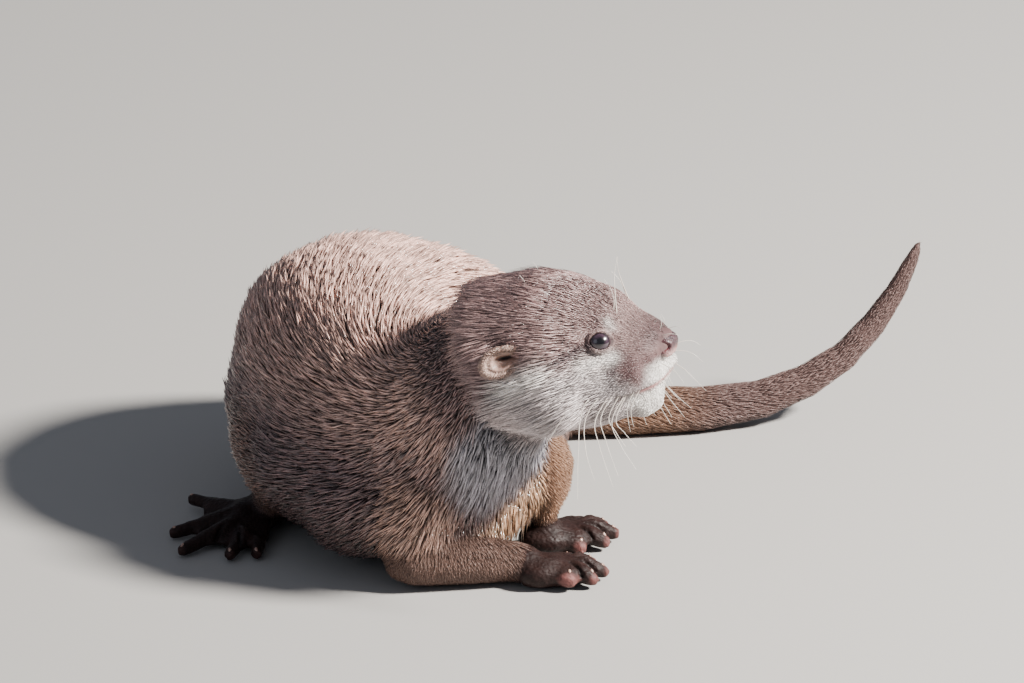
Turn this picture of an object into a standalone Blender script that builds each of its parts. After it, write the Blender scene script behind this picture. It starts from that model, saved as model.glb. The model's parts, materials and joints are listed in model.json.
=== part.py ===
"""A small-clawed otter crouching on the floor, life size, drawn in the outline of its coat.

Metres, +Z up, floor at Z = 0.  The tables below are in millimetres.  The otter looks along +X,
its back is arched, and the tail leaves the rump on the far side (+Y) and sweeps towards +X.
"""
import math

import bmesh
import bpy
from mathutils import Matrix, Vector

MM = 0.001
GAP = 0.36          # clear width between neighbouring parts
FLOOR_DEPTH = 30.0  # thickness of the block that trims the soles

# ---------------------------------------------------------------- torso: x, y, z, half side, half up
NECK = (
    (24, 6, 116, 30, 30),
    (6, 13, 110, 35, 33),
    (-10, 20, 97, 38, 36),
    (-22, 27, 77, 40, 40),
    (-30, 36, 58, 38, 39),
    (-34, 46, 46, 30, 30),
)
TRUNK = (
    (-4, 20, 54, 26, 28),
    (-14, 32, 52, 42, 43),
    (-37, 52, 62, 53, 54),
    (-60, 80, 68, 59, 58.5),
    (-68.5, 116, 68, 61.5, 56),
    (-57, 149, 59, 58, 52),
    (-34, 174, 42, 42, 37),
    (-6, 185, 27, 26, 24),
    (24, 187, 15, 16, 15.4),
)
TAIL = (
    (0, 185, 24, 23, 22),
    (24, 187, 15, 16, 15.4),
    (56, 187, 11.6, 12.4, 12),
    (88, 191, 10.6, 11, 10.6),
    (116, 197, 12.8, 9.4, 9.2),
    (138, 202, 20, 8.2, 8),
    (156, 206, 31, 7, 7),
    (170, 209, 46, 5.7, 5.7),
    (181, 211, 63, 4.4, 4.4),
    (188, 212, 78, 3, 3),
    (191, 212, 86, 1.4, 1.4),
)
TAIL_ROOT_AT = Vector((14, 186.6, 18))
TAIL_ROOT_ACROSS = Vector((1.0, 0.0, -0.12))
# rounded masses of shoulders, flanks and haunches: centre, radii
TORSO_SWELLS = (
    ((-34, 20, 48), (26, 24, 34)),
    ((-6, 42, 50), (22, 24, 30)),
    ((-64, 32, 33), (36, 34, 30)),
    ((-84, 62, 40), (38, 42, 35)),
    ((-88, 108, 48), (47, 50, 45)),
    ((-38, 106, 77), (46, 56, 51)),
    ((-13, 122, 51), (38, 44, 34)),
)
# limbs: x, y, z, half side, half up; each one is a short rounded tube
LIMBS = {
    "upper_arm_right": ((-32, 20, 56, 17, 17), (-40, 11, 42, 19, 19), (-46, 5, 27, 16, 16)),
    "forearm_right": ((-45, 5, 14.4, 14, 14), (-30, 6.5, 13.2, 13, 13.2), (-14, 8, 12, 11.8, 11.8),
                      (-1, 9, 10.2, 9.8, 9.6), (10, 9.5, 8.4, 9.4, 8)),
    "upper_arm_left": ((-8, 50, 67, 15, 15), (2, 48, 62, 15, 15), (11, 46, 57, 13, 13)),
    "forearm_left": ((14, 44.5, 53.5, 11.0, 11.0), (19.2, 42.7, 44, 10, 10), (18.5, 42.5, 33, 8.8, 8.8),
                     (15.5, 43.5, 22, 6.6, 6.6), (14.5, 45, 13, 6.2, 6.2), (16, 46, 8, 6.4, 6)),
    "thigh_right": ((-90, 122, 56, 26, 26), (-101, 102, 49, 29, 29), (-106, 78, 40, 26, 26),
                    (-105, 60, 33, 20, 20)),
    "shin_right": ((-104, 58, 28, 15, 15), (-106, 68, 21, 13, 12.5), (-109, 80, 13.5, 10.5, 10),
                   (-111, 87, 9, 9.5, 8.6)),
    "thigh_left": ((-8, 136, 52, 22, 22), (2, 118, 49, 24, 24), (8, 100, 44, 21, 21),
                   (10, 87, 38, 17, 17)),
    "shin_left": ((9, 86, 34, 13.5, 13.5), (8, 94, 25, 12.5, 12), (4, 106, 15, 10.5, 10),
                  (2, 113, 9, 9.5, 8.6)),
}
# thin cuts that part the torso: point on the cut, direction across it, radius of the cut
TORSO_CUTS = (
    ((-12, 27, 90), (0.61, -0.36, 0.71), 54),
    ((-47, 62, 66), (0.35, -0.93, -0.05), 100),
    ((-72, 124, 66), (-0.22, -0.95, 0.20), 100),
)
TAIL_CUTS = (
    ((66, 188, 11), (1.0, 0.08, -0.05), 20),
    ((124, 199, 14.6), (0.93, 0.19, 0.30), 16),
    ((163, 207.5, 38), (0.62, 0.09, 0.78), 14),
)
# where the middle of each torso piece is, for naming the pieces once they are cut apart
TORSO_PIECES = (
    ("neck", (-8, 18, 102)),
    ("chest", (-28, 40, 50)),
    ("loins", (-66, 96, 70)),
    ("rump", (-44, 160, 52)),
)
TAIL_PIECES = (
    ("tail_1", (40, 187, 14)),
    ("tail_2", (94, 192, 12)),
    ("tail_3", (145, 204, 26)),
    ("tail_4", (178, 210, 62)),
)

# ---------------------------------------------------------------- head, in its own axes:
# x towards the nose, y to the animal's left, z up
HEAD_AT = Vector((22, 5, 117.2))
HEAD_YAW = math.radians(-20)
HEAD_PITCH = math.radians(-9)
HEAD_CUT_AT = Vector((-30, 0, 0))
HEAD_CUT_ACROSS = Vector((0.951, 0, 0.308))
# x, top, bottom, half width, level of the widest point, roundness of the upper half
HEAD = (
    (-52, 18, -26, 22, -5, 2.0),
    (-44, 27, -33, 32, -5, 2.0),
    (-34, 31, -36, 36.5, -6, 2.0),
    (-22, 32.5, -36.5, 38, -8, 2.0),
    (-8, 34, -36, 38, -9, 2.0),
    (4, 34, -35.5, 36, -10, 1.95),
    (14, 32.5, -35, 33, -11, 1.85),
    (22, 30, -34.5, 29.5, -12, 1.75),
    (29, 26.8, -33, 27, -12, 1.7),
    (35, 20, -30, 25, -11, 1.75),
    (40.5, 14.5, -26, 23.5, -9, 1.85),
    (45.5, 10.5, -22, 20.5, -8, 1.95),
    (49.5, 8, -17, 14.5, -6, 2.0),
    (52.2, 4, -12, 7.5, -4, 2.0),
)
# chin, whisker pads, brows, bridge of the nose, cheeks: centre, radii
HEAD_SWELLS = (
    ((36, 0, -24.5), (10.5, 12.5, 10)),
    ((42, -9, -10.5), (10.2, 11, 9.3)),
    ((42, 9, -10.5), (10.2, 11, 9.3)),
    ((23, -11.5, 13.5), (11, 8, 8)),
    ((23, 11.5, 13.5), (11, 8, 8)),
    ((2, -24, -14), (20, 14, 17)),
    ((2, 24, -14), (20, 14, 17)),
)
EYE_FROM_MIDDLE = Vector((26.5, 17.6, 8.3))
EYE_RADIUS = 5.9
EAR_FROM_MIDDLE = Vector((-14.9, 34.5, 6.2))
EAR_RADII = Vector((11, 4.6, 7.8))
EAR_DISH = Vector((8, 3.4, 5.4))
NOSE_AT = Vector((51.4, 0, 1.2))
NOSE_RADII = Vector((4.2, 8.6, 6.6))

# ---------------------------------------------------------------- paws
# palm or sole: centre, radii, turn about Z in degrees; toes: knuckle, tip, radius at root and tip
PAW_RIGHT = {
    "pads": (((13, 7, 6.8), (14, 12, 7.4), 8), ((20, 10, 5.8), (10, 13.5, 6.4), 12)),
    "toes": (
        ((24, -1.5, 6.6), (28.5, -3.6, 3.1), 4.1, 3.3),
        ((31, 2.4, 7.4), (39.5, 0.2, 3.1), 4.3, 3.4),
        ((33, 10.4, 7.8), (44.5, 10.6, 3.1), 4.3, 3.4),
        ((29, 18, 7.2), (38.5, 21.8, 3.1), 4.2, 3.3),
        ((21, 21, 6.2), (27, 27.2, 3.0), 3.9, 3.1),
    ),
    "root": (12, 8, 6.4),
}
PAW_LEFT = {
    "pads": (((16, 45, 6.8), (14, 12, 7.4), 20), ((23, 50, 5.8), (10, 13.5, 6.4), 24)),
    "toes": (
        ((27, 40, 6.4), (34.5, 37.6, 3.0), 3.9, 3.1),
        ((35, 45.5, 7.6), (45.5, 44.6, 3.1), 4.2, 3.4),
        ((38, 53.5, 8.0), (49.6, 55.4, 3.1), 4.3, 3.4),
        ((34.5, 60.5, 7.4), (44.5, 65.4, 3.1), 4.3, 3.3),
        ((26, 62.5, 6.4), (32.5, 69.5, 3.0), 4.0, 3.2),
    ),
    "root": (15, 46, 6.4),
}
FOOT_RIGHT = {
    "pads": (((-109, 88, 6.6), (11, 13, 8), -30), ((-119, 75, 5.6), (14, 18, 6.6), -40)),
    "toes": (
        ((-115, 55, 5.6), (-117, 31, 2.8), 4.2, 3.0),
        ((-122, 52, 6.2), (-130, 29.5, 2.9), 4.4, 3.1),
        ((-130, 58, 6.6), (-153, 36, 2.9), 4.5, 3.2),
        ((-134, 67, 6.6), (-158, 57, 2.9), 4.5, 3.2),
        ((-131, 80, 7.0), (-150, 95, 5.2), 4.3, 3.0),
    ),
    "root": (-115, 79, 6.0),
}
FOOT_LEFT = {
    "pads": (((1, 118, 6.6), (10, 12, 8), 0), ((5, 104, 5.6), (13.5, 17, 6.6), 0)),
    "toes": (
        ((-4, 88, 5.8), (-9, 76, 2.8), 4.2, 3.0),
        ((1, 85, 6.4), (-1.5, 71.5, 2.9), 4.4, 3.1),
        ((6.5, 84, 6.6), (6.5, 70, 2.9), 4.5, 3.2),
        ((12, 86, 6.4), (14.5, 73, 2.9), 4.5, 3.2),
        ((14.5, 91, 6.0), (18.5, 80, 2.9), 4.2, 3.0),
    ),
    "root": (5, 104, 6.0),
}
LIMB_PAIRS = (
    ("upper_arm_right", "forearm_right"),
    ("upper_arm_left", "forearm_left"),
    ("thigh_right", "shin_right"),
    ("thigh_left", "shin_left"),
)
# cuts at the wrists and ankles: limb, point, direction towards the paw, half size of the trim
WRISTS = {
    "fore_paw_right": ("forearm_right", (4, 9, 9.4), (0.97, 0.06, -0.22), 16),
    "fore_paw_left": ("forearm_left", (15, 44.2, 16.5), (0.1, 0.12, -0.98), 12),
    "hind_foot_right": ("shin_right", (-109, 81, 13), (-0.1, 0.25, -0.96), 15),
    "hind_foot_left": ("shin_left", (3.4, 108, 13), (0.0, 0.25, -0.96), 15),
}
PAWS = {
    "fore_paw_right": PAW_RIGHT,
    "fore_paw_left": PAW_LEFT,
    "hind_foot_right": FOOT_RIGHT,
    "hind_foot_left": FOOT_LEFT,
}
NAIL_LENGTH = 2.6
NAIL_WIDTH = 2.0
NAIL_THICKNESS = 1.2
NAIL_GAP = 0.3

# ---------------------------------------------------------------- colours: red, green, blue, roughness
COAT = (0.20, 0.145, 0.115, 0.55)
COAT_PALE = (0.40, 0.34, 0.29, 0.55)
COAT_TAIL = (0.22, 0.14, 0.09, 0.5)
BARE_SKIN = (0.16, 0.085, 0.075, 0.45)
NOSE_SKIN = (0.22, 0.12, 0.12, 0.35)
EYE_BROWN = (0.02, 0.012, 0.01, 0.08)
NAIL_HORN = (0.55, 0.38, 0.34, 0.4)


# ================================================================ small tools
def clear_scene():
    for item in list(bpy.data.objects):
        bpy.data.objects.remove(item, do_unlink=True)


def new_object(name, points, faces):
    """A mesh object from points in millimetres, with its faces turned outwards."""
    mesh = bpy.data.meshes.new(name)
    mesh.from_pydata([tuple(c * MM for c in p) for p in points], [], faces)
    work = bmesh.new()
    work.from_mesh(mesh)
    bmesh.ops.recalc_face_normals(work, faces=work.faces)
    work.to_mesh(mesh)
    work.free()
    item = bpy.data.objects.new(name, mesh)
    bpy.context.scene.collection.objects.link(item)
    return item


def apply_modifier(item, kind, settings):
    """Runs one modifier on an object and keeps the result as its mesh."""
    modifier = item.modifiers.new(kind.lower(), kind)
    for key, value in settings.items():
        setattr(modifier, key, value)
    bpy.context.view_layer.update()
    result = bpy.data.meshes.new_from_object(item.evaluated_get(bpy.context.evaluated_depsgraph_get()))
    item.modifiers.clear()
    item.data = result


def between(rows, steps):
    """Smooth rows of numbers through the given rows, with steps new rows for each gap."""
    out = []
    last = len(rows) - 1
    for i in range(last):
        a, b = rows[max(i - 1, 0)], rows[i]
        c, d = rows[i + 1], rows[min(i + 2, last)]
        for k in range(steps):
            t = k / steps
            row = []
            for p, q, r, s in zip(a, b, c, d):
                bend = (2 * p - 5 * q + 4 * r - s) * t * t + (3 * q - p - 3 * r + s) * t ** 3
                row.append(0.5 * (2 * q + (r - p) * t + bend))
            out.append(row)
    out.append(list(rows[last]))
    return out


def skin_rings(name, rings):
    """Closes a row of equal rings into one solid, with a point in the middle of each end."""
    sides = len(rings[0])
    points = [p for ring in rings for p in ring]
    faces = []
    for r in range(len(rings) - 1):
        for s in range(sides):
            t = (s + 1) % sides
            faces.append((r * sides + s, r * sides + t, (r + 1) * sides + t, (r + 1) * sides + s))
    for ring_index in (0, len(rings) - 1):
        ring = rings[ring_index]
        points.append(sum((Vector(p) for p in ring), Vector()) / sides)
        hub = len(points) - 1
        for s in range(sides):
            faces.append((ring_index * sides + s, ring_index * sides + (s + 1) % sides, hub))
    return new_object(name, points, faces)


def tube(name, rows, sides=24, steps=4):
    """A round limb or trunk that follows rows of x, y, z, half side, half up."""
    rows = between(rows, steps)
    rings = []
    last_side = None
    for i, row in enumerate(rows):
        before, after = rows[max(i - 1, 0)], rows[min(i + 1, len(rows) - 1)]
        along = (Vector(after[:3]) - Vector(before[:3])).normalized()
        side = along.cross(Vector((0, 0, 1)))
        if side.length < 0.15:
            side = last_side or Vector((1, 0, 0))
        side.normalize()
        if last_side and side.dot(last_side) < 0.5:
            side = last_side  # where the path turns upright, the rings keep their turn
        side = (side - along * side.dot(along)).normalized()
        last_side = side
        up = side.cross(along).normalized()
        centre = Vector(row[:3])
        ring = []
        for s in range(sides):
            angle = 2 * math.pi * s / sides
            ring.append(centre + side * (row[3] * math.cos(angle)) + up * (row[4] * math.sin(angle)))
        rings.append(ring)
    return skin_rings(name, rings)


def ball(name, centre, radii, turn=None, rows=10, sides=16):
    """A closed ellipsoid, turned by a 3 x 3 matrix if one is given."""
    turn = turn or Matrix.Identity(3)
    points = [Vector(centre) + turn @ Vector((0, 0, radii[2]))]
    for r in range(1, rows):
        polar = math.pi * r / rows
        for s in range(sides):
            angle = 2 * math.pi * s / sides
            spot = Vector((radii[0] * math.sin(polar) * math.cos(angle),
                           radii[1] * math.sin(polar) * math.sin(angle),
                           radii[2] * math.cos(polar)))
            points.append(Vector(centre) + turn @ spot)
    points.append(Vector(centre) - turn @ Vector((0, 0, radii[2])))
    foot = len(points) - 1
    faces = []
    for s in range(sides):
        t = (s + 1) % sides
        faces.append((0, 1 + s, 1 + t))
        for r in range(rows - 2):
            a, b = 1 + r * sides, 1 + (r + 1) * sides
            faces.append((a + s, b + s, b + t, a + t))
        base = 1 + (rows - 2) * sides
        faces.append((base + s, foot, base + t))
    return new_object(name, points, faces)


def digit(name, root, knuckle, tip, wide, thin):
    """One toe: a tube from the palm over the knuckle to a rounded tip."""
    root, knuckle, tip = Vector(root), Vector(knuckle), Vector(tip)
    end = (tip - knuckle).normalized()
    rows = [
        (*root, wide, wide * 0.9),
        (*(root.lerp(knuckle, 0.55)), wide, wide * 0.95),
        (*knuckle, wide, wide),
        (*(knuckle.lerp(tip, 0.6)), thin * 1.02, thin * 0.98),
        (*(tip - end * thin * 0.9), thin, thin * 0.96),
        (*(tip - end * thin * 0.25), thin * 0.72, thin * 0.7),
        (*tip, thin * 0.2, thin * 0.2),
    ]
    return tube(name, rows, sides=12, steps=2)


def join(name, items):
    """One object out of several closed shapes that may overlap."""
    work = bmesh.new()
    for item in items:
        work.from_mesh(item.data)
        bpy.data.objects.remove(item, do_unlink=True)
    mesh = bpy.data.meshes.new(name)
    work.to_mesh(mesh)
    work.free()
    whole = bpy.data.objects.new(name, mesh)
    bpy.context.scene.collection.objects.link(whole)
    return whole


def fuse(name, items, grain, rounds, triangles):
    """Melts overlapping shapes into one soft closed skin with about the given triangle count."""
    whole = join(name, items)
    apply_modifier(whole, "REMESH", {"mode": "VOXEL", "voxel_size": grain * MM, "adaptivity": 0.0})
    apply_modifier(whole, "SMOOTH", {"factor": 0.5, "iterations": rounds})
    now = sum(len(f.vertices) - 2 for f in whole.data.polygons)
    ratio = min(1.0, triangles / now)
    apply_modifier(whole, "DECIMATE", {"ratio": ratio, "use_collapse_triangulate": True})
    return whole


def boolean(item, cutter, operation):
    apply_modifier(item, "BOOLEAN", {"object": cutter, "operation": operation, "solver": "EXACT"})


def swollen(item, distance):
    """A copy of a solid with its surface pushed outwards."""
    work = bmesh.new()
    work.from_mesh(item.data)
    bmesh.ops.triangulate(work, faces=work.faces)
    work.normal_update()
    moved = {}
    for v in work.verts:
        sharpest = min((v.normal.dot(f.normal) for f in v.link_faces), default=1.0)
        moved[v] = v.co + v.normal * (distance * MM / max(sharpest, 0.55))
    for v, place in moved.items():
        v.co = place
    mesh = bpy.data.meshes.new("swollen")
    work.to_mesh(mesh)
    work.free()
    copy = bpy.data.objects.new("swollen", mesh)
    bpy.context.scene.collection.objects.link(copy)
    return copy


def make_room(item, guest, distance=GAP):
    """Takes the guest and a clear gap round it out of the item."""
    cutter = swollen(guest, distance)
    boolean(item, cutter, "DIFFERENCE")
    bpy.data.objects.remove(cutter, do_unlink=True)


def disc(centre, across, radius):
    """A thin round blade, GAP thick."""
    across = Vector(across).normalized()
    side = across.orthogonal().normalized()
    other = across.cross(side)
    rings = []
    for shift in (-GAP / 2, GAP / 2):
        ring = []
        for s in range(32):
            angle = 2 * math.pi * s / 32
            ring.append(Vector(centre) + across * shift
                        + (side * math.cos(angle) + other * math.sin(angle)) * radius)
        rings.append(ring)
    return skin_rings("blade", rings)


def block(low, high):
    corners = [(x, y, z) for x in (low[0], high[0]) for y in (low[1], high[1]) for z in (low[2], high[2])]
    faces = [(0, 1, 3, 2), (4, 6, 7, 5), (0, 4, 5, 1), (2, 3, 7, 6), (0, 2, 6, 4), (1, 5, 7, 3)]
    return new_object("block", corners, faces)


def trim_off(item, point, towards, depth, half):
    """Takes away what lies beyond a flat cut, and half of the clear gap."""
    towards = Vector(towards).normalized()
    plate = new_plate(Vector(point) - towards * (GAP / 2), towards, depth, half)
    boolean(item, plate, "DIFFERENCE")
    bpy.data.objects.remove(plate, do_unlink=True)


def loose_parts(item):
    """The separate shells of a mesh, biggest first, each as its points in millimetres and its faces."""
    work = bmesh.new()
    work.from_mesh(item.data)
    work.verts.index_update()
    unseen = set(work.faces)
    parts = []
    while unseen:
        start = min(unseen, key=lambda f: f.index)
        unseen.discard(start)
        group, front = [start], [start]
        while front:
            for edge in front.pop().edges:
                for other in edge.link_faces:
                    if other in unseen:
                        unseen.discard(other)
                        group.append(other)
                        front.append(other)
        spots = sorted({v.index for f in group for v in f.verts})
        order = {index: n for n, index in enumerate(spots)}
        work.verts.ensure_lookup_table()
        points = [work.verts[index].co / MM for index in spots]
        faces = [[order[v.index] for v in f.verts] for f in group]
        parts.append((points, faces))
    work.free()
    return sorted(parts, key=lambda part: -len(part[0]))


def keep_biggest(item):
    """Leaves out the crumbs that a cut may strand beside a piece."""
    parts = loose_parts(item)
    if len(parts) > 1:
        print(item.name, "leaves out crumbs of", [len(part[0]) for part in parts[1:]], "points")
        whole = new_object(item.name, *parts[0])
        item.data = whole.data
        bpy.data.objects.remove(whole, do_unlink=True)


def cut_apart(whole, cuts, pieces):
    """Slices a solid with thin blades and names the loose pieces by the nearest given middle."""
    for centre, across, radius in cuts:
        blade = disc(centre, across, radius)
        boolean(whole, blade, "DIFFERENCE")
        bpy.data.objects.remove(blade, do_unlink=True)
    made = {}
    for points, faces in loose_parts(whole):
        middle = sum(points, Vector()) / len(points)
        name = min(pieces, key=lambda row: (Vector(row[1]) - middle).length)[0]
        if name in made:
            print("a crumb of", len(points), "points is left out beside", name)
        else:
            made[name] = new_object(name, points, faces)
    bpy.data.objects.remove(whole, do_unlink=True)
    return made


def material(name, colour):
    made = bpy.data.materials.new(name)
    made.use_nodes = True
    shader = made.node_tree.nodes["Principled BSDF"]
    shader.inputs["Base Color"].default_value = (colour[0], colour[1], colour[2], 1.0)
    shader.inputs["Roughness"].default_value = colour[3]
    shader.inputs["Metallic"].default_value = 0.0
    made.diffuse_color = (colour[0], colour[1], colour[2], 1.0)
    return made


def finish(item, colour):
    """Own material and smooth shading with the flats left crisp."""
    item.data.materials.clear()
    item.data.materials.append(material(item.name + "_surface", colour))
    item.data.shade_smooth()
    item.data.set_sharp_from_angle(angle=math.radians(42))


# ================================================================ head
def head_matrix():
    turn = Matrix.Rotation(HEAD_YAW, 3, "Z") @ Matrix.Rotation(HEAD_PITCH, 3, "Y")
    return turn


def on_head(point):
    return HEAD_AT + head_matrix() @ Vector(point)


def head_shell():
    """The skull, cheeks and muzzle: rings with a narrower upper half and a round lower half."""
    rings = []
    for x, top, bottom, half, level, power in between(HEAD, 3):
        ring = []
        for s in range(36):
            angle = 2 * math.pi * s / 36
            c, d = math.cos(angle), math.sin(angle)
            if d >= 0:
                y = half * math.copysign(abs(c) ** (2 / power), c)
                z = level + (top - level) * abs(d) ** (2 / power)
            else:
                y = half * c
                z = level + (level - bottom) * d
            ring.append(on_head((x, y, z)))
        rings.append(ring)
    return skin_rings("head_shell", rings)


def build_head():
    turn = head_matrix()
    shapes = [head_shell()]
    for centre, radii in HEAD_SWELLS:
        shapes.append(ball("swell", on_head(centre), radii, turn))
    shapes.append(tube("head_neck", NECK))
    head = fuse("head", shapes, 1.7, 6, 670)
    trim_off(head, on_head(HEAD_CUT_AT), turn @ -HEAD_CUT_ACROSS, 140, 120)
    return head


def new_plate(centre, towards, depth, half):
    """A thick square plate that starts at centre and reaches depth in one direction."""
    towards = Vector(towards).normalized()
    side = towards.orthogonal().normalized()
    other = towards.cross(side)
    points = []
    for along in (0, depth):
        for a, b in ((-1, -1), (1, -1), (1, 1), (-1, 1)):
            points.append(Vector(centre) + towards * along + side * (a * half) + other * (b * half))
    faces = [(0, 1, 2, 3), (4, 5, 6, 7), (0, 1, 5, 4), (1, 2, 6, 5), (2, 3, 7, 6), (3, 0, 4, 7)]
    return new_object("plate", points, faces)


def build_face_parts(head):
    """Eyes, ears and nose pad, each in its own hollow of the head."""
    turn = head_matrix()
    made = []
    for side_name, sign in (("right", -1), ("left", 1)):
        mirror = Vector((1, sign, 1))
        eye = ball("eye_" + side_name, on_head(EYE_FROM_MIDDLE * mirror), (EYE_RADIUS,) * 3, turn, 6, 10)
        make_room(head, eye)
        made.append((eye, EYE_BROWN))
        lean = Matrix.Rotation(math.radians(-24 * sign), 3, "Z") @ Matrix.Rotation(math.radians(12 * sign), 3, "X")
        ear = ball("ear_" + side_name, on_head(EAR_FROM_MIDDLE * mirror), EAR_RADII, turn @ lean, 6, 10)
        dish_middle = EAR_FROM_MIDDLE * mirror + lean @ Vector((1.2, 3.9 * sign, -0.8))
        dish = ball("dish", on_head(dish_middle), EAR_DISH, turn @ lean, 4, 8)
        boolean(ear, dish, "DIFFERENCE")
        bpy.data.objects.remove(dish, do_unlink=True)
        make_room(head, ear)
        made.append((ear, COAT_PALE))
    nose = ball("nose_pad", on_head(NOSE_AT), NOSE_RADII, turn, 6, 10)
    make_room(head, nose)
    made.append((nose, NOSE_SKIN))
    return made


# ================================================================ paws
def build_paw(name, paw, triangles):
    """Palm or sole, toes and the last of the limb, cut flat where the limb begins."""
    limb_name, point, towards, half = WRISTS[name]
    shapes = [tube(name + "_stub", LIMBS[limb_name][-3:], sides=16)]
    for centre, radii, turn in paw["pads"]:
        shapes.append(ball("pad", centre, radii, Matrix.Rotation(math.radians(turn), 3, "Z")))
    for knuckle, tip, wide, thin in paw["toes"]:
        root = Vector(paw["root"]).lerp(Vector(knuckle), 0.35)
        shapes.append(digit("toe", root, knuckle, tip, wide, thin))
    if name.startswith("hind"):
        shapes.append(web(paw))
    whole = fuse(name, shapes, 1.1, 3, triangles)
    trim_off(whole, point, Vector(towards) * -1, 60, half * 2)
    return whole


def build_limb(name, rows):
    """A short tube with rounded ends."""
    start = (Vector(rows[0][:3]) - Vector(rows[1][:3])).normalized()
    end = (Vector(rows[-1][:3]) - Vector(rows[-2][:3])).normalized()
    full = []
    for reach, size in ((0.95, 0.35), (0.7, 0.75)):
        full.append((*(Vector(rows[0][:3]) + start * rows[0][3] * reach), rows[0][3] * size, rows[0][4] * size))
    full.extend(rows)
    for reach, size in ((0.7, 0.75), (0.95, 0.35)):
        full.append((*(Vector(rows[-1][:3]) + end * rows[-1][3] * reach), rows[-1][3] * size, rows[-1][4] * size))
    return tube(name, full, sides=10, steps=1)


def web(paw):
    """The skin between the toes of a hind foot: a thin fan from the sole out to the toes."""
    root = Vector(paw["root"])
    spots = []
    toes = paw["toes"]
    for i, (knuckle, tip, wide, thin) in enumerate(toes):
        spots.append(Vector(knuckle).lerp(Vector(tip), 0.62))
        if i + 1 < len(toes):
            other_knuckle, other_tip = toes[i + 1][0], toes[i + 1][1]
            a = Vector(knuckle).lerp(Vector(tip), 0.45)
            b = Vector(other_knuckle).lerp(Vector(other_tip), 0.45)
            spots.append((a + b) / 2)
    points = []
    for lift in (-1.1, 1.1):
        points.append(root + Vector((0, 0, lift - 1.5)))
        for spot in spots:
            points.append(spot + Vector((0, 0, lift - 0.9)))
    count = len(spots) + 1
    faces = []
    for n in range(1, count - 1):
        faces.append((0, n, n + 1))
        faces.append((count, count + n + 1, count + n))
    loop = list(range(count))
    for n in range(count):
        a, b = loop[n], loop[(n + 1) % count]
        faces.append((a, b, count + b, count + a))
    return new_object("web", points, faces)


def build_nails(prefix, paw, host):
    """A short blunt nail on top of each toe tip, a hair above the skin."""
    made = []
    for i, (knuckle, tip, wide, thin) in enumerate(paw["toes"]):
        knuckle, tip = Vector(knuckle), Vector(tip)
        along = tip - knuckle
        along.z = 0
        along.normalize()
        middle = tip - along * 2.4
        tops = []
        for step in (-0.5, 0, 0.5):
            spot = middle + along * (NAIL_LENGTH * step)
            struck, place, normal, index = host.ray_cast(Vector((spot.x, spot.y, 40)) * MM, Vector((0, 0, -1)))
            if struck:
                tops.append(place.z / MM)
        middle.z = max(tops) + NAIL_THICKNESS / 2 + NAIL_GAP
        turn = Matrix.Rotation(math.atan2(along.y, along.x), 3, "Z")
        size = (NAIL_LENGTH / 2, NAIL_WIDTH / 2, NAIL_THICKNESS / 2)
        made.append((ball(f"{prefix}_{i + 1}", middle, size, turn, 3, 6), NAIL_HORN))
    return made


# ================================================================ the whole otter
def build():
    clear_scene()
    done = []
    shapes = [head_shell(), tube("neck_tube", NECK), tube("trunk_tube", TRUNK, 32)]
    for centre, radii in TORSO_SWELLS:
        shapes.append(ball("swell", centre, radii))
    torso = fuse("torso", shapes, 2.2, 45, 800)
    tail = tube("tail", TAIL, sides=11, steps=1)
    trim_off(torso, TAIL_ROOT_AT, TAIL_ROOT_ACROSS, 60, 40)
    trim_off(tail, TAIL_ROOT_AT, -TAIL_ROOT_ACROSS, 60, 40)
    trim_off(torso, on_head(HEAD_CUT_AT), head_matrix() @ HEAD_CUT_ACROSS, 110, 52)
    limbs = {name: build_limb(name, rows) for name, rows in LIMBS.items()}
    for limb in limbs.values():
        make_room(torso, limb)
    for upper, lower in LIMB_PAIRS:
        make_room(limbs[upper], limbs[lower])
    for limb_name, point, towards, half in WRISTS.values():
        trim_off(limbs[limb_name], point, towards, 30, half)
    paws = {name: build_paw(name, paw, 375) for name, paw in PAWS.items()}
    for name in ("hind_foot_right", "hind_foot_left"):
        make_room(torso, paws[name])
    floor = block((-300, -300, -FLOOR_DEPTH), (400, 400, 0))
    boolean(torso, floor, "DIFFERENCE")
    keep_biggest(torso)
    for limb in limbs.values():
        boolean(limb, floor, "DIFFERENCE")
        keep_biggest(limb)
        done.append((limb, COAT))
    for piece in cut_apart(torso, TORSO_CUTS, TORSO_PIECES).values():
        done.append((piece, COAT))
    boolean(tail, floor, "DIFFERENCE")
    for piece in cut_apart(tail, TAIL_CUTS, TAIL_PIECES).values():
        done.append((piece, COAT_TAIL))

    head = build_head()
    done.extend(build_face_parts(head))
    done.append((head, COAT_PALE))
    for name, piece in paws.items():
        boolean(piece, floor, "DIFFERENCE")
        done.append((piece, BARE_SKIN))
        done.extend(build_nails(name + "_claw", PAWS[name], piece))
    bpy.data.objects.remove(floor, do_unlink=True)
    for piece, colour in done:
        finish(piece, colour)
    stand_on_origin([piece for piece, colour in done])


def stand_on_origin(items):
    """Moves everything so that the middle of the footprint is at the origin."""
    xs = [v.co.x for item in items for v in item.data.vertices]
    ys = [v.co.y for item in items for v in item.data.vertices]
    shift = Vector((-(min(xs) + max(xs)) / 2, -(min(ys) + max(ys)) / 2, 0))
    for item in items:
        for v in item.data.vertices:
            v.co += shift
    print("moved by", [round(c / MM, 2) for c in shift])


build()
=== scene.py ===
# %% [markdown]
# # A small-clawed otter, crouching
# The animal arrives here as a set of plain solids that already have its size, pose and
# outline. This lesson dresses them: one smooth skin is wrapped over all the fleshy parts,
# a wet coat of small solid locks is grown from it, and the eyes, nose, ears, nails and
# whiskers are made one by one. Everything is in metres, with the floor at height zero.

# %% Load the frame
import heapq
import json
import math

import bmesh
import bpy
import numpy as np
from mathutils import Matrix, Vector
from mathutils.bvhtree import BVHTree

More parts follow.
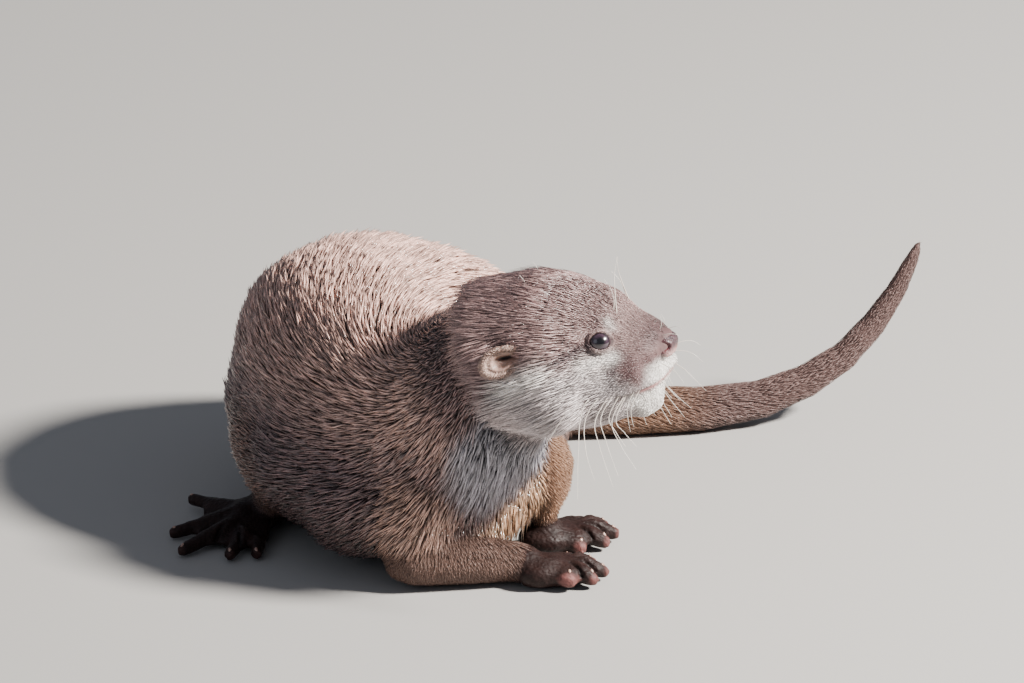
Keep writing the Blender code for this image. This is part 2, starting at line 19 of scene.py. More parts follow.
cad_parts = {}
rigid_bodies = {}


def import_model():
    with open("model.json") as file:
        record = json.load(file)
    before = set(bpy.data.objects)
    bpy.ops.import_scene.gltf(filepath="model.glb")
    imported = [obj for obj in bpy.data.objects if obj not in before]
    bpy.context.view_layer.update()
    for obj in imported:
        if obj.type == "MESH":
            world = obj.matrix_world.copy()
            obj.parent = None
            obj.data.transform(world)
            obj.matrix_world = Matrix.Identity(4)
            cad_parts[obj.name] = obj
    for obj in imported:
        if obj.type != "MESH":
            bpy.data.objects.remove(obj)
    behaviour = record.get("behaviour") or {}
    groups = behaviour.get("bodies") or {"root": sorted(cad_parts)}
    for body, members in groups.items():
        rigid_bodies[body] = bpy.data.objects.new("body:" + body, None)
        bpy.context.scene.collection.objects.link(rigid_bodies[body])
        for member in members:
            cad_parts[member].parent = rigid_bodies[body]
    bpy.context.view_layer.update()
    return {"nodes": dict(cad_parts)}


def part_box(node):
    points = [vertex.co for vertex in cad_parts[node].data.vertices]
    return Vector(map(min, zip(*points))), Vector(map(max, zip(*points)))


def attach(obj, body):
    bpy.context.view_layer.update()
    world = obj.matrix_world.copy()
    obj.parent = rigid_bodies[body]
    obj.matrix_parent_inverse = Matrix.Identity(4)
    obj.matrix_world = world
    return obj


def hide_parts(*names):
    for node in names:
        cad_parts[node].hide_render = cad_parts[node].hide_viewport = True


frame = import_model()
MM = 0.001
NODES = frame["nodes"]

# %% [markdown]
# ## Camera, floor and light
# A long lens far away keeps the animal's proportions honest. It looks down by 22 degrees.
# One large lamp stands high on the right, like a low sun through a soft box, so that the
# back and the top of the head are bright and the flank falls into shade. A wide, weak
# lamp on the left and a pale sky keep the shade readable.

# %% Camera
CAMERA_AIM = Vector((-17.15, -48.9, 104.7)) * MM
CAMERA_DISTANCE = 5.0
CAMERA_DOWN = math.radians(22)
CAMERA_LENS = 386.7


def add_camera():
    lens = bpy.data.cameras.new("camera")
    lens.lens = CAMERA_LENS
    lens.sensor_width = 36
    lens.clip_end = 50
    camera = bpy.data.objects.new("camera", lens)
    back = Vector((0, -math.cos(CAMERA_DOWN), math.sin(CAMERA_DOWN)))
    camera.location = CAMERA_AIM + back * CAMERA_DISTANCE
    camera.rotation_euler = (math.radians(90) - CAMERA_DOWN, 0, 0)
    bpy.context.scene.collection.objects.link(camera)
    bpy.context.scene.camera = camera
    print("camera stands at", [round(c, 3) for c in camera.location])


add_camera()


# %% Lamps, sky and floor
def add_lamp(name, place, size, power, colour):
    light = bpy.data.lights.new(name, "AREA")
    light.shape = "DISK"
    light.size = size
    light.energy = power
    light.color = colour
    lamp = bpy.data.objects.new(name, light)
    lamp.location = place
    aim = Vector((-0.01, -0.02, 0.07)) - Vector(place)
    lamp.rotation_euler = aim.to_track_quat("-Z", "Y").to_euler()
    bpy.context.scene.collection.objects.link(lamp)


def plain_material(name, colour, roughness):
    skin = bpy.data.materials.new(name)
    skin.use_nodes = True
    shader = skin.node_tree.nodes["Principled BSDF"]
    shader.inputs["Base Color"].default_value = (*colour, 1)
    shader.inputs["Roughness"].default_value = roughness
    return skin


def add_stage():
    world = bpy.data.worlds.new("sky")
    world.use_nodes = True
    sky = world.node_tree.nodes["Background"]
    sky.inputs["Color"].default_value = (0.80, 0.86, 1.0, 1)
    sky.inputs["Strength"].default_value = 0.25
    bpy.context.scene.world = world
    mesh = bpy.data.meshes.new("floor")
    half = 3.0
    corners = [(-half, -half, 0), (half, -half, 0), (half, half, 0), (-half, half, 0)]
    mesh.from_pydata(corners, [], [(0, 1, 2, 3)])
    floor = bpy.data.objects.new("floor", mesh)
    bpy.context.scene.collection.objects.link(floor)
    floor.data.materials.append(plain_material("pale floor", (0.40, 0.39, 0.375), 0.8))


add_lamp("key lamp", (1.8, -0.5, 1.6), 0.35, 270, (1.0, 0.95, 0.89))
add_lamp("fill lamp", (-1.6, -1.3, 0.9), 1.4, 3.5, (0.78, 0.86, 1.0))
add_stage()
print("lamps: key and fill")

# %% [markdown]
# ## Small helpers
# A mesh with a hundred thousand points is slow to walk through in Python but quick to
# handle as arrays, so a few helpers turn a mesh into arrays and spread values over it.


# %% Helpers for meshes as arrays
def smoothstep(low, high, value):
    t = np.clip((value - low) / (high - low), 0, 1)
    return t * t * (3 - 2 * t)


def hill(distance, width):
    """1 at no distance and fading out over the width."""
    return np.exp(-((distance / width) ** 2))


def linear(red, green, blue):
    """Turns a colour as seen on a screen, 0 to 255, into the light that a shader works with."""
    return tuple(((c / 255 + 0.055) / 1.055) ** 2.4 if c > 10 else c / 3294 for c in (red, green, blue))


def read(items, field, width, kind=float):
    """One field of many points, edges or faces as an array."""
    flat = np.empty(len(items) * width, dtype=kind)
    items.foreach_get(field, flat)
    return flat.reshape(-1, width)


def points_of(mesh):
    return read(mesh.vertices, "co", 3)


def set_points(mesh, points):
    mesh.vertices.foreach_set("co", points.ravel())
    mesh.update()


def normals_of(mesh):
    return read(mesh.vertex_normals, "vector", 3)


def edges_of(mesh):
    return read(mesh.edges, "vertices", 2, np.int32)


def face_centres(mesh):
    return read(mesh.polygons, "center", 3)


def spread(values, edges, rounds, share=0.5):
    """Averages each point's value with its neighbours' a number of times."""
    count = len(values)
    a, b = edges[:, 0], edges[:, 1]
    degree = np.maximum(np.bincount(edges.ravel(), minlength=count), 1)
    flat = values.reshape(count, -1).astype(float)
    for _ in range(rounds):
        for k in range(flat.shape[1]):
            own = flat[:, k]
            total = np.bincount(a, weights=own[b], minlength=count)
            total += np.bincount(b, weights=own[a], minlength=count)
            flat[:, k] = own + share * (total / degree - own)
    return flat.reshape(values.shape)


def relax(points, edges, rounds):
    """Smooths a surface and swells it back each time, so that it keeps its volume."""
    for _ in range(rounds):
        points = spread(points, edges, 1, 0.5)
        points = spread(points, edges, 1, -0.52)
    return points


def new_piece(name, mesh):
    piece = bpy.data.objects.new(name, mesh)
    bpy.context.scene.collection.objects.link(piece)
    return piece


def keep_values(mesh, name, kind, values):
    """Keeps a value at every point under a name that trees and finishes can read."""
    attribute = mesh.attributes.new(name, kind, "POINT")
    field = "color" if kind == "FLOAT_COLOR" else "vector" if kind == "FLOAT_VECTOR" else "value"
    attribute.data.foreach_set(field, np.asarray(values, dtype=np.float32).ravel())


def folded(points):
    """The animal's right side laid over its left, for marks that both sides share."""
    return points * (1, 0, 1) + np.abs(points) * (0, 1, 0)


def ball_mesh(name, segments, rings):
    """A ball whose faces always come in the same order, so that hair on it always falls alike."""
    work = bmesh.new()
    bmesh.ops.create_uvsphere(work, u_segments=segments, v_segments=rings, radius=1.0)
    work.verts.index_update()
    faces = []
    for face in work.faces:
        corners = [v.index for v in face.verts]
        first = corners.index(min(corners))
        faces.append(corners[first:] + corners[:first])
    mesh = bpy.data.meshes.new(name)
    mesh.from_pydata([v.co[:] for v in work.verts], [], sorted(faces))
    work.free()
    return mesh


def face_outwards(mesh):
    work = bmesh.new()
    work.from_mesh(mesh)
    bmesh.ops.recalc_face_normals(work, faces=work.faces)
    work.to_mesh(mesh)
    work.free()


def evaluated(piece):
    """The piece's mesh as it comes out of its modifiers."""
    return bpy.data.meshes.new_from_object(piece.evaluated_get(bpy.context.evaluated_depsgraph_get()))


def applied(piece, kind, **settings):
    """Adds a modifier, keeps its result as a plain mesh and takes the modifier off."""
    modifier = piece.modifiers.new("step", kind)
    for key, value in settings.items():
        setattr(modifier, key, value)
    result = evaluated(piece)
    piece.modifiers.remove(modifier)
    piece.data = result


print("helpers ready")

# %% Helpers for node trees
def add_node(tree, kind, inputs=(), **settings):
    """Adds a node, sets it up, and fills or joins its inputs."""
    node = tree.nodes.new(kind)
    for key, value in settings.items():
        setattr(node, key, value)
    for socket, value in inputs:
        if isinstance(value, bpy.types.NodeSocket):
            tree.links.new(value, node.inputs[socket])
        else:
            node.inputs[socket].default_value = value
    return node


def new_tree(name, inputs, output):
    """A Geometry Nodes tree with named inputs and one output."""
    tree = bpy.data.node_groups.new(name, "GeometryNodeTree")
    for label, kind in inputs:
        tree.interface.new_socket(name=label, in_out="INPUT", socket_type="NodeSocket" + kind)
    tree.interface.new_socket(name=output, in_out="OUTPUT", socket_type="NodeSocketGeometry")
    return tree


def run_tree(piece, tree, wanted):
    """Runs a tree on a piece with the wanted inputs and keeps what comes out as a plain mesh."""
    modifier = piece.modifiers.new("tree", "NODES")
    modifier.node_group = tree
    for item in tree.interface.items_tree:
        if item.in_out == "INPUT" and item.name in wanted:
            modifier[item.identifier] = wanted[item.name]
    result = evaluated(piece)
    piece.modifiers.clear()
    old = piece.data
    piece.data = result
    bpy.data.meshes.remove(old)


print("tree helpers ready")

# %% [markdown]
# ## One skin
# The solids are parted by thin cuts, as a museum's model would be. A living otter has one
# unbroken skin, so copies of the fleshy solids are swollen by less than half a
# millimetre until they touch, and a voxel remesh melts them into one surface. The eyes and
# the nose go in as plugs, so that no hole is left behind them. The solids reach to the
# tips of the hair, so the skin is then drawn inwards by the coat's depth.

# %% Melt the solids into one surface
NOT_FLESH = ("eye_", "ear_", "nose_pad")
FLESH = sorted(name for name in NODES if not name.startswith(NOT_FLESH) and "claw" not in name)
SWELL = 0.3 * MM
PLUGS = ("eye_left", "eye_right", "nose_pad")
GRAIN = 1.5 * MM


def melted(names):
    whole = bmesh.new()
    for name in names:
        part = bmesh.new()
        part.from_mesh(NODES[name].data)
        bmesh.ops.remove_doubles(part, verts=part.verts, dist=1e-6)
        part.normal_update()
        for v in part.verts:
            v.co += v.normal * SWELL
        copy = bpy.data.meshes.new("copy")
        part.to_mesh(copy)
        part.free()
        whole.from_mesh(copy)
        bpy.data.meshes.remove(copy)
    mesh = bpy.data.meshes.new("skin")
    whole.to_mesh(mesh)
    whole.free()
    return mesh


def biggest_shell(mesh):
    """Leaves out any bubble that the remesh may have left inside."""
    work = bmesh.new()
    work.from_mesh(mesh)
    work.verts.ensure_lookup_table()
    group = np.full(len(work.verts), -1)
    sizes = []
    for start in work.verts:
        if group[start.index] >= 0:
            continue
        number = len(sizes)
        group[start.index] = number
        front = [start]
        size = 1
        while front:
            for edge in front.pop().link_edges:
                for v in edge.verts:
                    if group[v.index] < 0:
                        group[v.index] = number
                        front.append(v)
                        size += 1
        sizes.append(size)
    keep = int(np.argmax(sizes))
    lost = [v for v in work.verts if group[v.index] != keep]
    bmesh.ops.delete(work, geom=lost, context="VERTS")
    work.to_mesh(mesh)
    work.free()
    return len(sizes)


skin = new_piece("skin", melted([*FLESH, *PLUGS]))
applied(skin, "REMESH", mode="VOXEL", voxel_size=GRAIN)
print("shells:", biggest_shell(skin.data), "points:", len(skin.data.vertices))

# %% The coat's table
# The parts of the coat and their numbers, which the faces of the skin will carry.
COAT_PARTS = {
    "face": 1, "crown": 2, "neck": 3, "chest": 4, "loins": 5, "rump": 6, "limbs": 7, "tail": 8,
    "rump_back": 9, "ears": 10, "pale_face": 11, "throat": 12, "shanks": 13,
}
# One row for each fleshy solid. Depths, lengths and widths are in millimetres, lifts and
# fan turns in degrees.
# Root light sets how light each lock's root is; its darkness is partly painted shade deep in the coat.
COLUMNS = ("depth", "length", "width", "lift", "root light", "fan turn", "hang", "part")
COAT_TABLE = {
    "head": (0.9, 6.6, 0.55, 5.5, 0.60, 0, 0.05, "crown"),
    # The neck's roots are darker than the trunk's: painted shade where the head's shadow falls.
    "neck": (2.1, 10.0, 1.05, 9, 0.20, 50, 0.30, "neck"),
    "chest": (2.6, 11.0, 1.3, 11.5, 0.24, 50, 0.25, "chest"),
    "loins": (2.8, 11.0, 1.4, 13, 0.24, 52, 0.10, "loins"),
    "rump": (2.8, 11.0, 1.4, 13, 0.24, 40, 0.10, "rump"),
    "tail_1": (1.3, 7.0, 0.72, 3.5, 1.0, 0, 0.0, "tail"),
    "tail_2": (1.0, 6.2, 0.68, 3, 1.0, 0, 0.0, "tail"),
    "tail_3": (0.8, 5.0, 0.62, 2.5, 1.0, 0, 0.0, "tail"),
    "tail_4": (0.1, 3.0, 0.55, 2, 1.0, 0, 0.0, "tail"),
    "upper_arm_left": (2.0, 10.5, 1.0, 10, 0.24, 20, 0.10, "limbs"),
    "upper_arm_right": (2.1, 10.5, 1.0, 10, 0.24, 42, 0.10, "limbs"),
    "forearm_left": (0.8, 3.8, 0.5, 2.5, 0.75, 0, 0.10, "shanks"),
    "forearm_right": (0.8, 3.8, 0.5, 2.5, 0.70, 8, 0.10, "shanks"),
    "thigh_left": (2.2, 9.0, 1.1, 11, 0.24, 25, 0.10, "limbs"),
    "thigh_right": (2.3, 9.5, 1.1, 11, 0.24, 30, 0.10, "limbs"),
    "shin_left": (0.9, 4.2, 0.55, 3, 0.70, 0, 0.10, "shanks"),
    "shin_right": (0.9, 4.2, 0.55, 3, 0.70, 0, 0.10, "shanks"),
    "fore_paw_left": (0.0, 2.4, 0.4, 4, 0.24, 0, 0.10, "shanks"),
    "fore_paw_right": (0.0, 2.4, 0.4, 4, 0.24, 0, 0.10, "shanks"),
    "hind_foot_left": (0.0, 2.4, 0.4, 4, 0.24, 0, 0.10, "shanks"),
    "hind_foot_right": (0.0, 2.4, 0.4, 4, 0.24, 0, 0.10, "shanks"),
}


def coat_column(name):
    """One column of the table, in the order of the fleshy solids' names."""
    return np.array([COAT_TABLE[solid][COLUMNS.index(name)] for solid in FLESH])


print("coat table:", len(COAT_TABLE), "solids")

# %% Which solid each point belongs to
def nearest_solids(points):
    """For each point, the number of the fleshy solid whose surface is nearest."""
    corners, faces, owner = [], [], []
    for number, name in enumerate(FLESH):
        mesh = NODES[name].data
        base = len(corners)
        corners.extend(v.co.copy() for v in mesh.vertices)
        faces.extend([base + i for i in p.vertices] for p in mesh.polygons)
        owner.extend([number] * len(mesh.polygons))
    tree = BVHTree.FromPolygons(corners, faces)
    return np.array([owner[tree.find_nearest(Vector(p))[2]] for p in points])


def near_spot(points, spot, widths):
    """1 at one spot and fading out around it; all in millimetres."""
    return np.exp(-np.sum(((points / MM - spot) / widths) ** 2, axis=1))


# Withers, saddle and edge of the loins: how much deeper the skin lies, where, and how widely.
BACK_SHAPING = (
    (4.2, (-36.0, 28.0, 119.0), (13, 26, 17)),
    (3.0, (-56.0, 32.0, 125.0), (14, 26, 17)),
    (-1.8, (-134.0, 33.0, 101.0), (14, 20, 14)),
)


def draw_in(piece):
    """Smooths the surface and moves it inwards by the coat's depth."""
    mesh = piece.data
    edges = edges_of(mesh)
    points = points_of(mesh)
    labels = nearest_solids(points)
    depth = spread(coat_column("depth")[labels], edges, 14)
    kept = np.array(["paw" in name or "foot" in name or name == "tail_4" for name in FLESH], dtype=float)
    paw = spread(kept[labels], edges, 3)
    bony = np.array([name.startswith(("head", "forearm", "shin", "tail")) for name in FLESH], dtype=float)
    firm = spread(bony[labels], edges, 6)
    soft = relax(points, edges, 12)
    softer = spread(soft, edges, 70)
    smooth = soft * firm[:, None] + softer * (1 - firm[:, None])
    points = points * paw[:, None] + smooth * (1 - paw[:, None])
    set_points(mesh, points)
    normals = spread(normals_of(mesh), edges, 3)
    normals /= np.linalg.norm(normals, axis=1)[:, None]
    for more, spot, widths in BACK_SHAPING:
        depth = depth + more * near_spot(points, spot, widths)
    set_points(mesh, points - normals * (depth * MM)[:, None])


draw_in(skin)
applied(skin, "REMESH", mode="VOXEL", voxel_size=GRAIN)
print("shells:", biggest_shell(skin.data), "faces:", len(skin.data.polygons))

# %% [markdown]
# ## More points where the eye looks
# The face, the paws and the feet need small facets for lids, lips and wrinkles. The trunk
# lies under the coat and needs few. The trunk is thinned out and the rest is cut finer.

# %% Thin the trunk, cut the face and the paws finer
TRUNK_SOLIDS = ("chest", "loins", "rump", "neck")
FULL_LIMBS = ("thigh_left", "thigh_right", "upper_arm_left", "upper_arm_right")
TRUNK_KEPT = 0.16


def numbers_of(names):
    return [FLESH.index(name) for name in names]


def thin_trunk(piece):
    labels = nearest_solids(points_of(piece.data))
    trunk = numbers_of(TRUNK_SOLIDS + FULL_LIMBS)
    group = piece.vertex_groups.new(name="trunk")
    group.add([int(i) for i in np.flatnonzero(np.isin(labels, trunk))], 1.0, "REPLACE")
    share = float(np.isin(labels, trunk).mean())
    kept = 1 - share * (1 - TRUNK_KEPT)
    applied(piece, "DECIMATE", ratio=kept, vertex_group="trunk", use_collapse_triangulate=True)
    piece.vertex_groups.clear()


def cut_finer(piece, chosen, rounds):
    """Splits the edges of the chosen faces and smooths the new points in."""
    work = bmesh.new()
    work.from_mesh(piece.data)
    work.faces.ensure_lookup_table()
    edges = {e for index in np.flatnonzero(chosen) for e in work.faces[index].edges}
    edges = sorted(edges, key=lambda e: e.index)
    bmesh.ops.subdivide_edges(work, edges=edges, cuts=1, use_grid_fill=True)
    bmesh.ops.triangulate(work, faces=work.faces)
    work.to_mesh(piece.data)
    work.free()
    mesh = piece.data
    smooth = relax(points_of(mesh), edges_of(mesh), rounds)
    set_points(mesh, smooth)


thin_trunk(skin)
print("after thinning:", len(skin.data.vertices), "points", len(skin.data.polygons), "faces")

# %% [markdown]
# ## The head's own axes
# Lids, lips and markings are easiest to place in axes that turn with the head: x runs to
# the nose, y to the animal's left and z up. The eyes fix where those axes start.

# %% Head axes
HEAD_TURN = math.radians(-20)
HEAD_TIP = math.radians(-9)
EYES_FROM_START = Vector((26.5, 0, 8.3)) * MM


def middle_of(name):
    low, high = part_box(name)
    return (Vector(low) + Vector(high)) / 2


HEAD_TURNED = Matrix.Rotation(HEAD_TURN, 3, "Z") @ Matrix.Rotation(HEAD_TIP, 3, "Y")
SIDES = ("left", "right")
LEFT_EYE, RIGHT_EYE = middle_of("eye_left"), middle_of("eye_right")
HEAD_START = (LEFT_EYE + RIGHT_EYE) / 2 - HEAD_TURNED @ EYES_FROM_START
TURN_ARRAY = np.array(HEAD_TURNED)
START_ARRAY = np.array(HEAD_START)


def to_head(points):
    """Points in metres to the head's axes, in millimetres."""
    return (points - START_ARRAY) @ TURN_ARRAY / MM


def from_head(points):
    return np.asarray(points) * MM @ TURN_ARRAY.T + START_ARRAY


def head_middle(name):
    """The middle of a solid in the head's axes."""
    return to_head(np.array(middle_of(name))[None])[0]


print("head starts at", [round(c, 4) for c in HEAD_START])

# %% Cut the face, the paws and the feet finer
FACE_FROM = 17.0
CROWN_FROM = 22
centres = face_centres(skin.data)
face_labels = nearest_solids(centres)
in_head = to_head(centres)
is_face = (face_labels == FLESH.index("head")) & (in_head[:, 0] > FACE_FROM) & (in_head[:, 2] < CROWN_FROM)
PAWS = [name for name in FLESH if "paw" in name or "foot" in name]
is_paw = np.isin(face_labels, numbers_of(PAWS)) & (centres[:, 2] > 1.0 * MM)
cut_finer(skin, is_face | is_paw, 2)
print("after cutting:", len(skin.data.vertices), "points", len(skin.data.polygons), "faces")

# %% [markdown]
# ## Fingers
# The toes are fleshy and lie close together. A furrow is pressed in wherever two toes are
# equally far away, and each toe is raised along its middle and at its knuckles.

# %% Furrows between the toes
def toe_lines(paw):
    """Where each toe starts and ends, seen from above, in millimetres."""
    middle = np.array(middle_of(paw)) / MM
    tips = [np.array(middle_of(name)) / MM for name in sorted(NODES) if name.startswith(paw + "_claw")]
    return [((middle + 0.2 * (tip - middle))[:2], (middle + 1.12 * (tip - middle))[:2]) for tip in tips]


def toe_distances(points, paw):
    """How far each point is from the nearest toe's line and from the next, and how far along it lies."""
    flat = points[:, :2] / MM
    gaps, shares = [], []
    for start, end in toe_lines(paw):
        step = end - start
        raw = (flat - start) @ step / (step @ step)
        on_line = start + np.clip(raw, 0, 1)[:, None] * step
        gaps.append(np.linalg.norm(flat - on_line, axis=1))
        shares.append(raw)
    gaps, shares = np.array(gaps), np.array(shares)
    order = np.argsort(gaps, axis=0)
    every = np.arange(len(flat))
    return gaps[order[0], every], gaps[order[1], every], shares[order[0], every]


def furrows(points, owner):
    """1 in a furrow between two toes, 1 on a toe's middle, and how far along its toe each point lies."""
    furrow, ridge, along = np.zeros((3, len(points)))
    for paw in PAWS:
        mine = owner == FLESH.index(paw)
        near, further, share = toe_distances(points[mine], paw)
        furrow[mine] = hill(further - near, 1.3) * smoothstep(0.02, 0.35, share)
        along[mine] = share
        knuckles = 0.7 + 0.5 * hill(share - 0.45, 0.1) + 0.5 * hill(share - 0.78, 0.07)
        ridge[mine] = hill(near, 1.7) * smoothstep(0.1, 0.4, share) * knuckles
    return furrow, ridge, along


def part_toes(piece):
    mesh = piece.data
    points, normals = points_of(mesh), normals_of(mesh)
    owner = nearest_solids(points)
    furrow, ridge, _ = furrows(points, owner)
    upper = smoothstep(-0.3, 0.4, normals[:, 2]) * smoothstep(0.8 * MM, 2.2 * MM, points[:, 2])
    push = spread((0.35 * ridge - 2.1 * furrow) * upper, edges_of(mesh), 1)
    set_points(mesh, points + normals * (push * MM)[:, None])
    print("deepest furrow:", round(-float(push.min()), 2), "mm")


part_toes(skin)

# %% [markdown]
# ## Sculpting the face
# A sculptor would press a groove for the mouth, pull lids over the eyeballs and pinch a
# fold under the brow. Each of those is a small push along the surface here, strong at one
# place and fading out around it, measured in millimetres on the head's own axes.

# %% Lids, lips and folds
EYE_RADIUS = 5.9
EYE_OPEN_WIDE = 4.9
EYE_OPEN_HIGH = 3.35
LID_THICK = 0.85
GAZE = {"left": Vector((0.42, 0.87, 0.34)).normalized(), "right": Vector((0.42, -0.87, 0.34)).normalized()}
# Hollow before the eye, brow, cheek and forehead: rise, place, how narrow from side to
# side, and width.
FACE_FORMS = (
    (-0.7, (36, 14, 6), 1, 5),
    (0.5, (25, 14, 16), 1, 5),
    (0.5, (18, 27, -3), 1, 8),
    (0.6, (29, 0, 21), 0.5, 6),
)
SCULPT_FROM = 8
RIM_REACHES = (9.8, 7.8)
# The line of the mouth: heights above the points along the muzzle.
MOUTH_X = (30, 36, 44, 50, 54)
MOUTH_Z = (-17.6, -16.4, -15.0, -13.4, -12.6)


def eye_axes(side):
    """The gaze, and the directions along and across the slit between the lids."""
    gaze = np.array(GAZE[side])
    along = np.cross((0, 0, 1.0), gaze) * (1 if side == "right" else -1)
    along = -along if along[0] < 0 else along
    along = along / np.linalg.norm(along)
    tilt = math.radians(8)
    up = np.cross(gaze, along)
    up = up if up[2] > 0 else -up
    slit = along * math.cos(tilt) - up * math.sin(tilt)
    across = np.cross(gaze, slit)
    across = across if across[2] > 0 else -across
    return gaze, slit, across


def open_measure(offsets, side):
    """How far a point in front of the eye is from the slit: 1 on the edge of the lids."""
    gaze, slit, across = eye_axes(side)
    wide = offsets @ slit - 0.5
    high = offsets @ across - 0.4
    almond = EYE_OPEN_HIGH * np.clip(1 - 0.16 * (wide / EYE_OPEN_WIDE) ** 2, 0.5, 1)
    measure = np.hypot(wide / EYE_OPEN_WIDE, high / almond)
    return np.where(offsets @ gaze > 0, measure, 9.0)


def pull_lids(points, side):
    middle = head_middle("eye_" + side)
    away = points - middle
    reach = np.linalg.norm(away, axis=1)
    directions = away / np.maximum(reach, 1e-6)[:, None]
    measure = open_measure(away, side)
    lid = EYE_RADIUS + LID_THICK + 0.2 * hill(measure - 1.3, 0.2) - 0.3 * hill(measure - 1.62, 0.14)
    under = EYE_RADIUS - 1.4
    blend = smoothstep(1.35, 2.1, measure)
    target = np.where(measure < 1, under, lid * (1 - blend) + np.maximum(reach, lid) * blend)
    target = np.where(measure < 2.2, target, reach)
    return middle + directions * target[:, None]


def press_mouth(points, normals):
    x, y, z = points.T
    level = np.interp(x, MOUTH_X, MOUTH_Z)
    along = smoothstep(31, 38, x)
    groove = -1.5 * hill(z - level, 0.8) * along
    lip = 0.45 * hill(z - level - 1.9, 1.4) * along
    under_lip = -0.9 * smoothstep(0.2, 1.8, level - z) * smoothstep(8, 4, level - z) * along
    corner = -0.5 * hill(np.hypot(x - 33, z + 17.2), 1.8) * (np.abs(y) > 8)
    philtrum = -0.9 * hill(y, 0.8) * smoothstep(-14, -12, z) * smoothstep(-3, -6, z) * (x > 46)
    pad_edge = -0.6 * hill(x - 31 + 0.25 * (z + 8), 3.6) * hill(z + 9, 6) * smoothstep(8, 18, np.abs(y))
    return points + normals * (groove + lip + under_lip + corner + philtrum + pad_edge)[:, None]


def soften_face(points):
    """Raises and lowers the forms of the face, and fills the bridge of the nose."""
    x, y, z = points.T
    side = np.abs(y)
    push = 0
    for rise, (ahead, aside, above), narrow, width in FACE_FORMS:
        reach = np.sqrt((x - ahead) ** 2 + (narrow * (side - aside)) ** 2 + (z - above) ** 2)
        push = push + rise * hill(reach, width)
    return push + 2.0 * hill(x - 45, 7) * smoothstep(2, 8, z) * hill(y, 9)


def set_back_lip(points):
    """The muzzle's front slopes back from the nose to the lip."""
    x, y, z = points.T
    front = smoothstep(42, 56, x)
    back = front * 2.6 * hill(z + 7.0, 4.5)
    return points - np.column_stack([back, 0 * y, 0 * z])


def sculpt_face(piece):
    mesh = piece.data
    world = points_of(mesh)
    inside = to_head(world)
    normals = normals_of(mesh) @ TURN_ARRAY
    front = inside[:, 0] > SCULPT_FROM
    shaped = inside + normals * soften_face(inside)[:, None]
    shaped = set_back_lip(press_mouth(shaped, normals))
    for side in SIDES:
        shaped = pull_lids(shaped, side)
    moved = np.where(front[:, None], from_head(shaped), world)
    set_points(mesh, moved)
    print("face: the furthest point moved", round(float(np.abs(moved - world).max() / MM), 2), "mm")


def cut_eye_rims(piece):
    """Extra small facets round the eyes, so that the lids have a clean edge."""
    for width in RIM_REACHES:
        centres = to_head(face_centres(piece.data))
        near = np.zeros(len(centres), dtype=bool)
        for side in SIDES:
            near |= np.linalg.norm(centres - head_middle("eye_" + side), axis=1) < width
        cut_finer(piece, near, 1)


cut_eye_rims(skin)
sculpt_face(skin)
print("skin now has", len(skin.data.polygons), "faces")

# %% [markdown]
# ## Eyes
# Each eye is a ball with a slightly bulging cornea. The iris is so dark that it hardly
# shows against the pupil, and a thin warm ring marks its edge. The wet gloss comes from a
# clear coat over the colour, not from painted highlights.

# %% Eyeballs
CORNEA_BULGE = 0.45
IRIS_REACH = 3.6


def eyeball(side):
    mesh = ball_mesh("eye", 48, 32)
    gaze, slit, across = eye_axes(side)
    turn = np.stack([slit, across, gaze], axis=1)
    unit = points_of(mesh)
    if np.linalg.det(turn) < 0:
        unit = unit * (-1, 1, 1)
        mesh.flip_normals()
    off_axis = np.hypot(unit[:, 0], unit[:, 1]) * EYE_RADIUS
    bulge = CORNEA_BULGE * hill(off_axis, IRIS_REACH) * (unit[:, 2] > 0)
    ball = unit * (EYE_RADIUS - 0.1 + bulge)[:, None]
    set_points(mesh, from_head(head_middle("eye_" + side) + ball @ turn.T))
    keep_values(mesh, "from_pupil", "FLOAT", np.where(unit[:, 2] > 0, off_axis, EYE_RADIUS))
    mesh.shade_smooth()
    return new_piece("eyeball_" + side, mesh)


eyes = {side: eyeball(side) for side in SIDES}
print("eyes stand", round((LEFT_EYE - RIGHT_EYE).length / MM, 1), "mm apart")

# %% [markdown]
# ## The lie of the coat
# Hair points away from the nose: back over the head, along the trunk, down each leg and
# out along the tail. The distance from the nose, walked over the skin, therefore gives the
# direction of every hair: the way in which that distance grows fastest. Behind the head
# the coat fans out from a parting on the shoulder, because the neck is turned, so there the
# walk starts at the shoulder and the fan is turned by an angle from the coat's table. A
# little weight makes the hair of the throat and the chest hang.

# %% Distance over the skin and the direction of the hair
def walk_from(mesh, start):
    """The shortest way along the edges from one point to every other."""
    points = points_of(mesh)
    edges = edges_of(mesh)
    lengths = np.linalg.norm(points[edges[:, 0]] - points[edges[:, 1]], axis=1)
    neighbours = [[] for _ in range(len(points))]
    for (a, b), length in zip(edges.tolist(), lengths.tolist()):
        neighbours[a].append((b, length))
        neighbours[b].append((a, length))
    walked = [math.inf] * len(points)
    walked[start] = 0.0
    queue = [(0.0, start)]
    while queue:
        far, here = heapq.heappop(queue)
        if far > walked[here]:
            continue
        for there, length in neighbours[here]:
            total = far + length
            if total < walked[there]:
                walked[there] = total
                heapq.heappush(queue, (total, there))
    values = np.array(walked)
    values[~np.isfinite(values)] = 0
    return values


